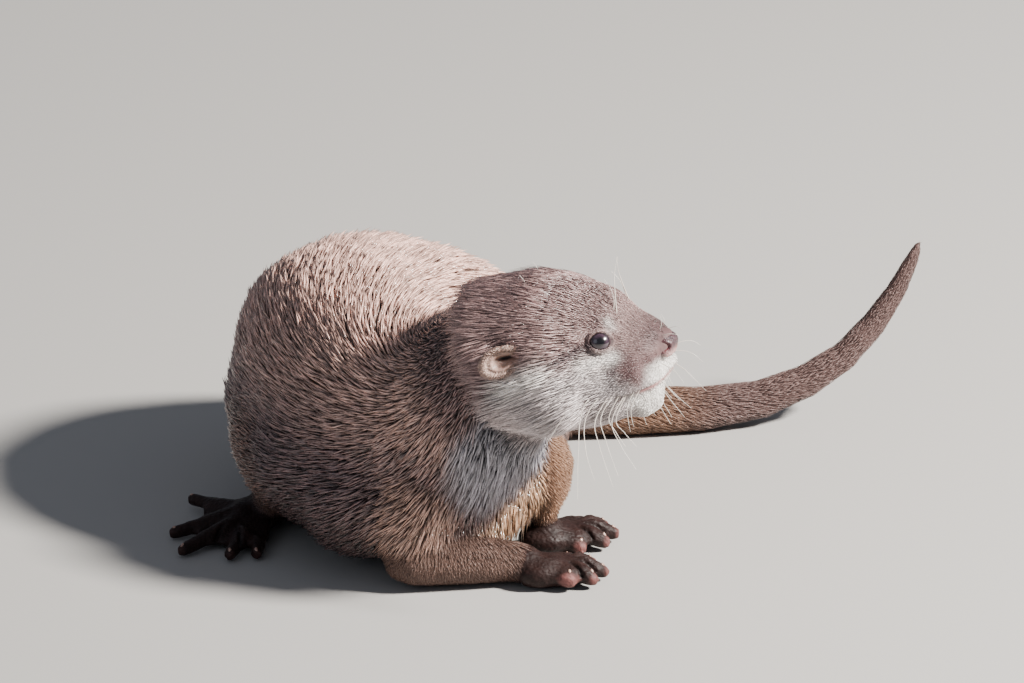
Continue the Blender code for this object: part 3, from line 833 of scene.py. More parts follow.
def slope_of(mesh, values):
    """The direction in which a value grows fastest over each triangle, averaged at the points."""
    points = points_of(mesh)
    corners = np.array([p.vertices[:] for p in mesh.polygons if len(p.vertices) == 3])
    a, b, c = (points[corners[:, k]] for k in range(3))
    across = np.cross(b - a, c - a)
    double_area = np.linalg.norm(across, axis=1)
    facing = across / np.maximum(double_area, 1e-14)[:, None]
    fa, fb, fc = (values[corners[:, k]][:, None] for k in range(3))
    growth = fa * np.cross(facing, c - b) + fb * np.cross(facing, a - c) + fc * np.cross(facing, b - a)
    slope = np.zeros_like(points)
    for k in range(3):
        for axis in range(3):
            slope[:, axis] += np.bincount(corners[:, k], weights=growth[:, axis], minlength=len(points))
    return slope


def unit(vectors):
    return vectors / np.maximum(np.linalg.norm(vectors, axis=1), 1e-12)[:, None]


def along_surface(vectors, normals):
    return vectors - normals * np.sum(vectors * normals, axis=1)[:, None]


SKIN = skin.data
skin_points = points_of(SKIN)
skin_edges = edges_of(SKIN)
skin_head = to_head(skin_points)
nose_tip = int(np.argmin(np.linalg.norm(skin_head - (56, 0, -2), axis=1)))
walked = spread(walk_from(SKIN, nose_tip), skin_edges, 16)
smooth_normals = unit(spread(normals_of(SKIN), skin_edges, 4))
hair = unit(along_surface(slope_of(SKIN, walked), smooth_normals))
print("the way over the skin from nose to tail tip:", round(float(walked.max()) / MM), "mm")

# %% Which solid each point belongs to, and the fan behind the shoulder
labels = nearest_solids(skin_points)


def on_solids(names, rounds):
    """1 on the skin of the named solids, fading out over a number of steps."""
    return spread(np.isin(labels, numbers_of(names)).astype(float), skin_edges, rounds)


on_head = on_solids(["head"], 6)
SHOULDER = np.array((-52.0, -94.0, 116.0)) * MM
CHEST_EDGE = (-14.0, -72.0, 24.0)
FAN_FROM, FAN_FULL = 16 * MM, 42 * MM
shoulder_point = int(np.argmin(np.linalg.norm(skin_points - SHOULDER, axis=1)))
from_shoulder = spread(walk_from(SKIN, shoulder_point), skin_edges, 16)
fan = unit(along_surface(slope_of(SKIN, from_shoulder), smooth_normals))
fan_turn = np.radians(spread(coat_column("fan turn")[labels], skin_edges, 40))[:, None]
fan = fan * np.cos(fan_turn) - np.cross(smooth_normals, fan) * np.sin(fan_turn)
fanned = smoothstep(FAN_FROM, FAN_FULL, from_shoulder) * (1 - on_head)
hair = hair * (1 - fanned)[:, None] + fan * fanned[:, None]
hair = unit(along_surface(spread(unit(hair), skin_edges, 40), smooth_normals))
hang = spread(coat_column("hang")[labels], skin_edges, 20)
hang = hang + 1.2 * near_spot(skin_points, CHEST_EDGE, (14, 16, 11))
down = along_surface(np.tile((0.0, 0.0, -1.0), (len(skin_points), 1)), smooth_normals)
hair = unit(along_surface(hair + down * hang[:, None], smooth_normals))
print("on the head:", int((on_head > 0.5).sum()), "points")

# %% [markdown]
# ## Markings
# The coat is a greyed brown, paler and warmer on the far foreleg, the near upper arm, the
# tail's root and the low chest, with a cream lower face and a greyer throat. Some of these
# colours are painted light and shade: the top of the trunk is painted lighter, the nape and
# the low trunk are painted darker, the throat's grey is partly painted shade and the limbs'
# paleness is partly painted light. The border runs from the corner of the muzzle under the
# eye and the ear and down the side of the neck. The same colours are kept at every point of
# the skin and are handed on to each lock that grows there, so that skin and coat always agree.

# %% Colours of the hide
# Painted light: the top of the trunk is made lighter, where the light falls on the back.
BACK_BROWN_PAINTED_LIGHT = linear(180, 147, 135)
BROWN_CROWN = linear(168, 139, 136)
BROWN_MUZZLE = linear(126, 98, 98)
BROWN_FLANK = linear(102, 82, 82)
BROWN_LIMB = linear(118, 92, 82)
BROWN_TAIL = linear(120, 96, 92)
TAIL_ROOT_TAN = linear(150, 112, 84)
# Partly painted light: the far foreleg and the near upper arm are lighter than the other limbs where the
# light falls on them.
TAN_LIMB_PAINTED_LIGHT = linear(176, 136, 110)
SHOULDER_BROWN_PAINTED_LIGHT = linear(168, 136, 122)
CREAM = linear(252, 247, 242)
CHEEK_GREY = linear(206, 195, 194)
# Partly the throat's own grey and partly painted shade: darker and bluer than its pale grey, as the throat
# lies in shade under the head.
THROAT_GREY_PAINTED_SHADE = linear(139, 137, 145)
CHEST_TAN = linear(160, 129, 104)
# Painted shade: the trunk is made darker towards the floor.
BELLY_PAINTED_SHADE = linear(70, 56, 54)
# Dark streaks of the face, and painted shade in the crease behind the whisker pad.
DARK_STREAK_AND_SHADE = linear(62, 50, 58)
LID_DARK = linear(52, 38, 40)
WRIST_BROWN = linear(84, 62, 55)
NOSE_BRIDGE = linear(98, 72, 74)
# Painted shade: the neck is darker where the head's shadow falls on it.
NAPE_PAINTED_SHADE = linear(104, 82, 82)
LIP_PINK = linear(206, 138, 136)
PAW_DARK = linear(33, 19, 17)
PAW_PINK = linear(142, 92, 88)
NEAR_EYE = 10
FORE_PAWS_FROM = -60 * MM
# Where the pale lower face and throat end: heights above the points along the head.
BORDER_X = (-60, -43, -30, -20, -10, 0, 10, 20, 26, 32, 38, 44, 50, 56)
BORDER_Z = (-52, -28, -19, -9, -3, -1, 0.5, 1.5, 2.0, -3, -10, -12, -5, -1)
# Streaks and pale spots of the face: colour, strength, start, end and width. The second streak, behind the
# whisker pad, is painted shade in the crease there.
FACE_MARKS = (
    (DARK_STREAK_AND_SHADE, 0.75, (24, 23.5, 8.8), (12, 31, 4.0), 2.6),
    # painted shade in the crease behind the whisker pad
    (DARK_STREAK_AND_SHADE, 0.5, (33, 22, 2), (30, 25, -13), 2.4),
    (DARK_STREAK_AND_SHADE, 0.6, (39, 19, -2), (34, 22, -12), 1.1),
    (DARK_STREAK_AND_SHADE, 0.55, (43, 16, -4), (39, 19, -13), 1.0),
    (CREAM, 0.9, (32, 15.5, 17.0), (33.5, 16, 15.2), 2.6),
    (CREAM, 0.95, (20, 26.0, 0.5), (33, 21, 2.0), 3.4),
    (CREAM, 0.9, (5, 35.0, 0.5), (-12, 37.5, -5), 5),
)


def blend_in(colours, colour, share):
    return colours + (np.array(colour) - colours) * share[:, None]


def near_line(points, start, end, width):
    """1 on a line between two places and fading out around it, on both sides of the head."""
    start, end = np.array(start, dtype=float), np.array(end, dtype=float)
    sides = folded(points)
    step = end - start
    share = np.clip((sides - start) @ step / max(step @ step, 1e-9), 0, 1)
    return hill(np.linalg.norm(sides - start - share[:, None] * step, axis=1), width)


def plain_colours():
    """One colour for each solid, softened where two solids meet. The far foreleg and the near upper arm are
    lighter and warmer, partly their own colour and partly painted light where the light falls on them.
    """
    base = {name: BROWN_FLANK for name in FLESH}
    base.update({name: BROWN_TAIL for name in FLESH if name.startswith("tail")})
    base.update({name: BROWN_LIMB for name in FLESH if "arm" in name or "thigh" in name or "shin" in name})
    base["head"] = BROWN_CROWN
    # partly painted light on the limbs that the light falls on
    base["forearm_left"] = base["upper_arm_left"] = TAN_LIMB_PAINTED_LIGHT
    base["upper_arm_right"] = SHOULDER_BROWN_PAINTED_LIGHT
    return spread(np.array([base[name] for name in FLESH])[labels], skin_edges, 12)


def body_layers():
    """Colours laid over the trunk and the tail, each with its share at every point: painted light on the top
    of the trunk, the tail root's own tan, and painted shade low on the trunk.
    """
    x = skin_points[:, 0] / MM
    height = skin_points[:, 2]
    tail_root = 0.7 * on_solids(("tail_1", "tail_2"), 16)
    return [
        # painted light, stronger higher up the trunk
        (BACK_BROWN_PAINTED_LIGHT, smoothstep(48 * MM, 96 * MM, height) * on_solids(TRUNK_SOLIDS, 12)),
        (TAIL_ROOT_TAN, tail_root * smoothstep(-15, 30, x) * smoothstep(85, 45, x)),
        # painted shade, stronger towards the floor
        (BELLY_PAINTED_SHADE, 0.7 * smoothstep(50 * MM, 18 * MM, height) * on_solids(TRUNK_SOLIDS, 6)),
    ]


def head_layers():
    """Muzzle, cheeks, throat and chest; the pale parts lie below a wavy border. The nape's darker brown is
    painted shade where the head's shadow falls, and the throat's grey is partly its own colour and partly
    painted shade.
    """
    x, y, z = skin_head.T
    ahead, aside, above = (skin_points / MM).T
    wobble = 1.6 * np.sin(x * 0.9 + 1.0) * np.cos(z * 0.7 + y * 0.4)
    border = np.interp(x, BORDER_X, BORDER_Z) + wobble
    lower_face = smoothstep(-5.0, 6.0, border - z) * on_head
    lips = smoothstep(44, 50, x) * smoothstep(-2, -6.5, z)
    lips = lips + smoothstep(34, 40, x) * smoothstep(-15, -19, z)
    throat = smoothstep(-4, 8, border - z) * smoothstep(-80, -58, z) * smoothstep(-58, -40, x)
    throat = throat * (1 - on_head) * (1 - on_solids(("forearm_left", "upper_arm_left"), 6))
    low_chest = smoothstep(-2, 7, 0.75 * ahead - 0.25 * aside - 0.61 * above + 22.8)
    low_chest = low_chest * smoothstep(-40, -58, aside)
    return [
        (BROWN_MUZZLE, on_head * smoothstep(26, 34, x) * smoothstep(8, -2, z)),
        (NOSE_BRIDGE, 0.85 * on_head * smoothstep(36, 50, x) * smoothstep(0, 6, z)),
        # painted shade of the head's shadow on the neck
        (NAPE_PAINTED_SHADE, on_solids(["neck"], 14)),
        (CHEEK_GREY, lower_face * (0.6 + 0.4 * smoothstep(-30, 5, x))),
        (CREAM, np.clip(lips, 0, 1) * on_head),
        # the throat's grey, partly painted shade
        (THROAT_GREY_PAINTED_SHADE, throat * (1 - low_chest) * smoothstep(-10.0, 40.0, -aside)),
        (CHEST_TAN, low_chest * on_solids(["chest"], 6)),
    ]


def face_layers():
    """Streaks, pale spots, the pink line of the lips and the dark rims of the eyes; the streak behind the
    whisker pad is painted shade in that crease.
    """
    x, _, z = skin_head.T
    layers = []
    for colour, strength, start, end, width in FACE_MARKS:
        layers.append((colour, strength * near_line(skin_head, start, end, width) * on_head))
    level = np.interp(x, MOUTH_X, MOUTH_Z)
    layers.append((LIP_PINK, 0.85 * hill(z - level + 0.3, 1.1) * smoothstep(39, 44, x) * on_head))
    for side in SIDES:
        offsets = skin_head - head_middle("eye_" + side)
        close = np.linalg.norm(offsets, axis=1) < NEAR_EYE
        layers.append((LID_DARK, 0.8 * smoothstep(1.34, 1.1, open_measure(offsets, side)) * close))
    return layers


def paw_colours(colours):
    """Bare paws: dark, moist skin that turns pink at the tips of the toes, with painted shade in the furrows
    between the toes and painted light on their ridges and knuckles.
    """
    bare = on_solids(PAWS, 4)
    colours = blend_in(colours, WRIST_BROWN, 0.8 * smoothstep(0.05, 0.6, on_solids(PAWS, 26)))
    colours = blend_in(colours, PAW_DARK, smoothstep(0.35, 0.8, bare))
    furrow, ridge, share = furrows(skin_points, labels)
    # Painted shade in the furrows between the toes and painted light along each toe's middle and knuckles.
    colours = colours * (1 - 0.65 * furrow + 0.35 * ridge)[:, None]
    fore_paw = skin_points[:, 0] > FORE_PAWS_FROM
    pink = np.where(fore_paw, 0.5, 0.12) * smoothstep(0.82, 1.0, share)
    return blend_in(colours, PAW_PINK, pink * smoothstep(0.35, 0.8, bare)), bare


hide = plain_colours()
for colour, share in body_layers() + head_layers() + face_layers():
    hide = blend_in(hide, colour, share)
hide, bare_paw = paw_colours(hide)
print("mean hide colour:", np.round(hide.mean(axis=0), 3))

# %% [markdown]
# ## How long, wide and steep the locks are
# Wet hair sticks together in pointed locks. They are longest on the throat and the trunk,
# shorter on the limbs and the tail, and only a millimetre or two near the nose and eyes.

# %% Size of the locks at each point
EAR_ROOT = (-10, 34, 7)
NOSE_SPOT = (51.4, 0, 0.8)
NOSE_REACH = (4.6, 8.6, 6.4)
x, y, z = skin_head.T
height = skin_points[:, 2]
length = spread(coat_column("length")[labels], skin_edges, 14)
width = spread(coat_column("width")[labels], skin_edges, 10)
lift = spread(coat_column("lift")[labels], skin_edges, 12)
lift = lift * (1 + 0.5 * smoothstep(90 * MM, 116 * MM, height) * (1 - on_head))
toward_nose = smoothstep(2, 42, x) * on_head
length = length * (1 - 0.72 * toward_nose)
width = width * (1 - 0.40 * toward_nose)
jowl = on_head * smoothstep(-8, -20, z) * smoothstep(36, 20, x)
crown = on_head * smoothstep(18, 2, x)
length = length * (1 + 1.5 * jowl + 1.35 * crown * (1 - jowl))
width = width * (1 - 0.15 * crown)
by_ear = hill(np.linalg.norm(folded(skin_head) - EAR_ROOT, axis=1), 12)
length = length * (1 - 0.6 * by_ear)
cool_hide = hide[:, 2] > 0.76 * hide[:, 0]
throat_hair = spread((cool_hide & (on_head < 0.5)).astype(float), skin_edges, 8)
length = length * (1 + 0.6 * throat_hair) + 9.5 * near_spot(skin_points, CHEST_EDGE, (13, 14, 9))
calm = hill(from_shoulder / MM, 20) * (1 - on_head)
length = length * (1 - 0.75 * calm)
lift = lift * (1 - 0.8 * calm)
print("before the bare places, the longest lock is", round(float(length.max()), 1), "mm")

# %% Bare places and light at the roots
growth = 1 - smoothstep(0.25, 0.6, bare_paw)
for side in SIDES:
    offsets = skin_head - head_middle("eye_" + side)
    measure = open_measure(offsets, side)
    far_off = np.linalg.norm(offsets, axis=1) > NEAR_EYE
    growth *= np.where(far_off, 1, smoothstep(1.15, 1.32, measure))
    length *= np.where(far_off, 1, 0.45 + 0.55 * smoothstep(1.3, 2.6, measure))
nose_offset = np.linalg.norm((skin_head - NOSE_SPOT) / NOSE_REACH, axis=1)
growth *= smoothstep(1.0, 1.12, nose_offset)
lip_line = np.abs(z - np.interp(x, MOUTH_X, MOUTH_Z))
growth *= np.where((x > 40) & (on_head > 0.5), smoothstep(0.4, 1.1, lip_line), 1)
growth *= smoothstep(0.4 * MM, 1.6 * MM, height)
length = length * (1 - 0.6 * smoothstep(0.02, 0.4, bare_paw))
root_light = spread(coat_column("root light")[labels], skin_edges, 10)
# Painted light: roots are lighter high on the back, where the light falls. Painted shade: the throat's roots
# are darker, as the throat lies in shade. The pale face gets lighter roots.
root_light += 0.12 * smoothstep(75 * MM, 115 * MM, height) * (1 - on_head)
root_light = root_light - 0.2 * throat_hair + 0.35 * on_head * smoothstep(0.45, 0.75, hide.mean(axis=1))
print("lock length from", round(float(length.min()), 1), "to", round(float(length.max()), 1), "mm")

# %% Keep those values on the skin
FACE_PART_FROM = 8.0
RUMP_SPLIT = 68 * MM
THROAT_FROM = 40 * MM
PALE_FROM = 0.34


def number_faces(mesh, numbers):
    attribute = mesh.attributes.new("coat_part", "INT", "FACE")
    attribute.data.foreach_set("value", numbers.astype(np.int32))


def number_parts(mesh):
    """Gives each face the number of the coat piece that grows on it."""
    centres = face_centres(mesh)
    first_corner = np.array([p.vertices[0] for p in mesh.polygons])
    pale = hide.mean(axis=1)[first_corner] > PALE_FROM
    cool = cool_hide[first_corner]
    parts = np.array([COAT_PARTS[part] for part in coat_column("part")])[nearest_solids(centres)]
    moves = (
        ("crown", "face", to_head(centres)[:, 0] > FACE_PART_FROM),
        ("rump", "rump_back", centres[:, 1] > RUMP_SPLIT),
        ("face", "pale_face", pale),
        ("crown", "pale_face", pale),
        ("neck", "throat", cool & (centres[:, 2] > THROAT_FROM)),
        ("chest", "throat", cool & (centres[:, 2] > THROAT_FROM)),
    )
    for old, new, chosen in moves:
        parts[(parts == COAT_PARTS[old]) & chosen] = COAT_PARTS[new]
    number_faces(mesh, parts)
    areas = np.array([p.area for p in mesh.polygons])
    for name, number in COAT_PARTS.items():
        print(name, "covers", round(float(areas[parts == number].sum()) * 1e4, 1), "square centimetres")


keep_values(SKIN, "hide", "FLOAT_COLOR", np.column_stack([hide, np.ones(len(hide))]))
keep_values(SKIN, "hair_way", "FLOAT_VECTOR", hair)
keep_values(SKIN, "skin_up", "FLOAT_VECTOR", smooth_normals)
keep_values(SKIN, "lock_length", "FLOAT", length * MM)
keep_values(SKIN, "lock_width", "FLOAT", width * MM)
keep_values(SKIN, "lock_lift", "FLOAT", np.radians(lift))
keep_values(SKIN, "growth", "FLOAT", growth)
keep_values(SKIN, "bare", "FLOAT", bare_paw)
keep_values(SKIN, "root_light", "FLOAT", root_light)
number_parts(SKIN)

# %% [markdown]
# ## An unwrap of the skin
# Each lock will have a tiny patch of a map named OFBake at the place of its root, where its
# colour can be kept in a picture. So the skin is first unwrapped by its own shape.

# %% Unwrap
def unwrap(piece):
    bpy.context.view_layer.objects.active = piece
    piece.select_set(True)
    mesh = piece.data
    mesh.uv_layers.new(name="OFBake")
    bpy.ops.object.mode_set(mode="EDIT")
    bpy.ops.mesh.select_all(action="SELECT")
    bpy.ops.uv.smart_project(angle_limit=math.radians(66), island_margin=0.004)
    bpy.ops.object.mode_set(mode="OBJECT")
    piece.select_set(False)


unwrap(skin)
print("the skin has", len(skin.data.uv_layers), "unwrap")

# %% [markdown]
# ## The shape of one lock
# A wet lock is a slim three-sided blade with a ridge on top. It is a little wider at its
# middle than at its root, and drawn out to a point. Six bent versions are enough, because
# each one grows at its own angle and size.

# %% Lock shapes
def lock_shape(name, stations, bend, sag, twist):
    """A blade along +X of length 1 and width 1. Stations are (how far along, how wide, how thick)."""
    rows = []
    for t, wide, thick in stations:
        middle = Vector((t, bend * t * t, sag * math.sin(t * math.pi * 0.85)))
        turn = twist * t
        left = middle + Vector((0, math.cos(turn), math.sin(turn))) * wide / 2
        right = middle - Vector((0, math.cos(turn), math.sin(turn))) * wide / 2
        top = middle + Vector((0, -math.sin(turn), math.cos(turn))) * thick
        rows.append((left, right, top))
    tip = Vector((1.0, bend, sag * math.sin(math.pi * 0.85)))
    points = [p for row in rows for p in row] + [tip]
    faces, patches = [], []
    for n in range(len(rows) - 1):
        low, high = stations[n][0], stations[n + 1][0]
        for k in range(3):
            a, b = 3 * n + k, 3 * n + (k + 1) % 3
            faces.append((a, a + 3, b + 3, b))
            patches.append(((k / 3, low), (k / 3, high), ((k + 1) / 3, high), ((k + 1) / 3, low)))
    last = 3 * (len(rows) - 1)
    for k in range(3):
        faces.append((last + k, len(points) - 1, last + (k + 1) % 3))
        patches.append(((k / 3, stations[-1][0]), ((k + 0.5) / 3, 1.0), ((k + 1) / 3, stations[-1][0])))
    faces.append((0, 1, 2))
    patches.append(((0.1, 0.0), (0.9, 0.0), (0.5, 0.08)))
    mesh = bpy.data.meshes.new(name)
    mesh.from_pydata([p[:] for p in points], [], faces)
    mesh.uv_layers.new(name="lock_patch")
    flat = [c for patch in patches for corner in patch for c in corner]
    mesh.uv_layers["lock_patch"].data.foreach_set("uv", flat)
    keep_values(mesh, "along", "FLOAT", [p.x for p in points])
    face_outwards(mesh)
    mesh.shade_smooth()
    return mesh


FINE_HAIR = ((0.0, 0.75, 0.45), (0.5, 0.8, 0.42))
# Each version's bend to the side, its rise and its twist.
BENDS = (
    (0.10, 0.05, 0.3), (-0.10, 0.05, -0.3), (0.20, 0.08, 0.6),
    (-0.20, 0.08, -0.6), (0.03, 0.10, 0.9), (-0.04, 0.02, -0.9),
)
lock_shapes = bpy.data.collections.new("fine hair")
for number, bends in enumerate(BENDS):
    shape = lock_shape(f"fine hair {number}", FINE_HAIR, *bends)
    lock_shapes.objects.link(bpy.data.objects.new(shape.name, shape))

# %% [markdown]
# ## Growing the coat
# One Geometry Nodes tree scatters roots over one part of the skin, turns a lock to lie along
# the hair's way, lifts it a little, and sets its size. Neighbouring locks lean together,
# as wet hair does, because a slow noise turns them all by nearly the same angle. Every
# lock keeps its hide colour and a tone of its own.

# %% The tree
# The tree's inputs and their kinds.
COAT_INPUTS = (
    ("Skin", "Geometry"), ("Lock shapes", "Collection"), ("Hair finish", "Material"),
    ("Part number", "Int"), ("Spacing", "Float"), ("Most per area", "Float"),
    ("Clump size", "Float"), ("Clump pull", "Float"), ("Raised", "Float"), ("Longer", "Float"),
    ("Wider", "Float"), ("Steeper", "Float"), ("Thicker", "Float"), ("Lean", "Float"),
    ("Ruffle", "Float"), ("Patch size", "Float"), ("Seed", "Int"),
)
# How fast the slow noise changes, and each lock's own ranges of rise, roll, length and width.
SLOW_NOISE = 130.0
RISE_RANGE = (0.5, 1.3)
ROLL_RANGE = (-0.35, 0.35)
LONG_RANGE = (0.65, 1.2)
WIDE_RANGE = (0.6, 1.3)


def coat_tree():
    tree = new_tree("grow coat", COAT_INPUTS, "Coat")
    given = add_node(tree, "NodeGroupInput").outputs

    def add(kind, inputs=(), **settings):
        return add_node(tree, kind, inputs, **settings)

    def kept(name, kind):
        return add("GeometryNodeInputNamedAttribute", [("Name", name)], data_type=kind).outputs[0]

    def maths(operation, first, second):
        return add("ShaderNodeMath", [(0, first), (1, second)], operation=operation).outputs[0]

    def vectors(operation, first, second, result="Vector"):
        other = "Scale" if operation == "SCALE" else 1
        node = add("ShaderNodeVectorMath", [(0, first), (other, second)], operation=operation)
        return node.outputs[result]

    def times(*values):
        product = values[0]
        for value in values[1:]:
            product = maths("MULTIPLY", product, value)
        return product

    def chance(low, high, extra):
        draw = [(2, low), (3, high), ("Seed", maths("ADD", given["Seed"], extra))]
        return add("FunctionNodeRandomValue", draw, data_type="FLOAT").outputs[1]

    def store(geometry, name, value, kind, domain):
        wanted = [("Geometry", geometry), ("Name", name), ("Value", value)]
        return add("GeometryNodeStoreNamedAttribute", wanted, data_type=kind, domain=domain).outputs[0]

    # Roots
    mine = [(2, kept("coat_part", "INT")), (3, given["Part number"])]
    here = add("FunctionNodeCompare", mine, data_type="INT", operation="EQUAL")
    roots = add(
        "GeometryNodeDistributePointsOnFaces",
        [("Mesh", given["Skin"]), ("Selection", here.outputs[0]), ("Distance Min", given["Spacing"]),
         ("Density Max", given["Most per area"]), ("Density Factor", kept("growth", "FLOAT")),
         ("Seed", given["Seed"])],
        distribute_method="POISSON",
    )
    # Clumps and lean
    place = add("GeometryNodeInputPosition").outputs[0]
    way, up = kept("hair_way", "FLOAT_VECTOR"), kept("skin_up", "FLOAT_VECTOR")
    own_length = kept("lock_length", "FLOAT")
    slow = add("ShaderNodeTexNoise", [("Vector", place), ("Scale", SLOW_NOISE), ("Detail", 1.0)]).outputs[0]
    clumps = [("Vector", place), ("Scale", maths("DIVIDE", 1.0, given["Clump size"]))]
    cells = add("ShaderNodeTexVoronoi", clumps)
    shade = add("ShaderNodeSeparateXYZ", [(0, cells.outputs["Color"])]).outputs
    to_middle = vectors("SUBTRACT", cells.outputs["Position"], place)
    aside = vectors("DOT_PRODUCT", to_middle, vectors("CROSS_PRODUCT", up, way), "Value")
    pull = maths("ARCTAN2", times(aside, given["Clump pull"]), own_length)
    lean = maths("ADD", pull, times(maths("SUBTRACT", slow, 0.5), given["Lean"]))
    lean = maths("ADD", lean, times(chance(-1.0, 1.0, 11), given["Ruffle"]))
    # Each lock's turn
    raised = times(kept("lock_lift", "FLOAT"), given["Steeper"], chance(*RISE_RANGE, 12))
    raised = times(raised, maths("ADD", times(shade["Y"], 0.9), 0.6))
    flat = add("FunctionNodeAxesToRotation", [(0, up), (1, way)], primary_axis="Z", secondary_axis="X")
    angles = [("X", chance(*ROLL_RANGE, 13)), ("Y", times(raised, -1.0)), ("Z", lean)]
    tilt = add("FunctionNodeEulerToRotation", [(0, add("ShaderNodeCombineXYZ", angles).outputs[0])])
    both = [(0, flat.outputs[0]), (1, tilt.outputs[0])]
    turned = add("FunctionNodeRotateRotation", both, rotation_space="LOCAL")
    # Each lock's size and tone
    long = times(own_length, given["Longer"], chance(*LONG_RANGE, 14))
    wide = times(kept("lock_width", "FLOAT"), given["Wider"], chance(*WIDE_RANGE, 15))
    size = add("ShaderNodeCombineXYZ", [("X", long), ("Y", wide), ("Z", times(wide, given["Thicker"]))])
    clear = vectors("SCALE", up, times(own_length, given["Raised"]))
    lifted = add("GeometryNodeSetPosition", [("Geometry", roots.outputs["Points"]), ("Offset", clear)])
    tone = maths("ADD", times(shade["X"], 0.65), times(chance(0.0, 1.0, 16), 0.35))
    # Locks on the roots, made solid
    wanted = [("Collection", given["Lock shapes"]), ("Separate Children", True), ("Reset Children", True)]
    box = add("GeometryNodeCollectionInfo", wanted)
    versions = [(4, 0), (5, len(BENDS) - 1), ("Seed", given["Seed"])]
    pick = add("FunctionNodeRandomValue", versions, data_type="INT")
    grown = add(
        "GeometryNodeInstanceOnPoints",
        [("Points", lifted.outputs[0]), ("Instance", box.outputs[0]), ("Pick Instance", True),
         ("Instance Index", pick.outputs[2]), ("Rotation", turned.outputs[0]), ("Scale", size.outputs[0])],
    ).outputs[0]
    grown = store(grown, "root_place", kept("OFBake", "FLOAT_VECTOR"), "FLOAT_VECTOR", "INSTANCE")
    grown = store(grown, "own_tone", tone, "FLOAT", "INSTANCE")
    cleared = add("GeometryNodeRemoveAttribute", [("Geometry", grown), ("Name", "OFBake")])
    solid = add("GeometryNodeRealizeInstances", [("Geometry", cleared.outputs[0])])
    # Each lock's patch of the map, and its finish
    offset = vectors("SUBTRACT", kept("lock_patch", "FLOAT_VECTOR"), (0.5, 0.5, 0.0))
    scaled = vectors("SCALE", offset, given["Patch size"])
    patch = vectors("ADD", scaled, kept("root_place", "FLOAT_VECTOR"))
    mapped = store(solid.outputs[0], "OFBake", patch, "FLOAT2", "CORNER")
    finished = add("GeometryNodeSetMaterial", [("Geometry", mapped), ("Material", given["Hair finish"])])
    add("NodeGroupOutput", [("Coat", finished.outputs[0])])
    return tree


COAT_TREE = coat_tree()
print("the tree has", len(COAT_TREE.nodes), "nodes")

# %% [markdown]
# ## The nose
# The nose pad is bare, moist and finely pebbled. Its nostrils are commas that open to the
# sides, and a shallow groove runs from its lower edge to the lip. It is a squarish
# ball whose points are pushed in at the nostrils and at the groove.

# %% Nose pad
NOSE_MIDDLE = head_middle("nose_pad") - (0.2, 0.0, 0.8)
NOSE_HALF = np.array((4.3, 8.0, 5.6))
NOSTRIL_AT = (1.3, 7.2, 0.8)
NOSTRIL_TAIL = (-0.9, 8.2, 2.2)


def build_nose():
    mesh = ball_mesh("nose", 96, 72)
    unit_points = points_of(mesh)
    squared = np.sign(unit_points) * np.abs(unit_points) ** 0.88
    shape = squared * NOSE_HALF
    sides = folded(shape)
    pit = hill(np.linalg.norm((sides - NOSTRIL_AT) / (2.5, 2.2, 2.0), axis=1), 1.0)
    tail = hill(np.linalg.norm((sides - NOSTRIL_TAIL) / (2.0, 1.2, 1.0), axis=1), 1.0)
    hole = np.clip(pit + 0.8 * tail, 0, 1)
    rim = hill(np.linalg.norm((sides - NOSTRIL_AT) / (2.4, 2.1, 1.75), axis=1) - 1.5, 0.35)
    groove = hill(shape[:, 1], 0.7) * smoothstep(0.5, -2, shape[:, 2]) * (shape[:, 0] > 0)
    inward = 2.9 * hole - 0.3 * rim + 0.8 * groove
    shape = shape * (1 - (inward / np.linalg.norm(shape, axis=1)))[:, None]
    shape[:, 0] += 0.5 * hill(shape[:, 2] - 1.5, 2.0) * (shape[:, 0] > 0)
    set_points(mesh, from_head(NOSE_MIDDLE + shape))
    keep_values(mesh, "nostril", "FLOAT", np.clip(hole * 1.25 + 0.4 * groove, 0, 1))
    low = smoothstep(0.5, -4.0, unit_points[:, 2] * 6) * smoothstep(-0.2, 0.5, unit_points[:, 0])
    keep_values(mesh, "nose_low", "FLOAT", low)
    mesh.shade_smooth()
    return new_piece("nose_leather", mesh)


nose = build_nose()
print("nose pad centre, head axes:", np.round(NOSE_MIDDLE, 1))

# %% [markdown]
# ## The ears
# An otter's ear is small and round, with a thick furred rim, a shallow bowl, one inner
# ridge and a slit that closes under water. It grows out of the head at the front and
# stands free behind, so the whole flap is turned a little forward.

# %% Ear flaps
EAR_HALF = (11.6, 6.5)
EAR_FACING = (0.34, 0.90, 0.22)
EAR_BROWN = linear(178, 150, 138)
EAR_LOCKS = {
    "lock_length": 2.9 * MM, "lock_width": 0.36 * MM,
    "lock_lift": math.radians(16), "root_light": 0.8,
}


def ear_axes(side):
    way = 1 if side == "left" else -1
    out = unit(np.array([(EAR_FACING[0], EAR_FACING[1] * way, EAR_FACING[2])]))[0]
    forward = unit(along_surface(np.array([(1.0, 0.0, 0.25)]), out[None]))[0]
    up = np.cross(out, forward) * (1 if side == "right" else -1)
    up = up if up[2] > 0 else -up
    return forward, up, out


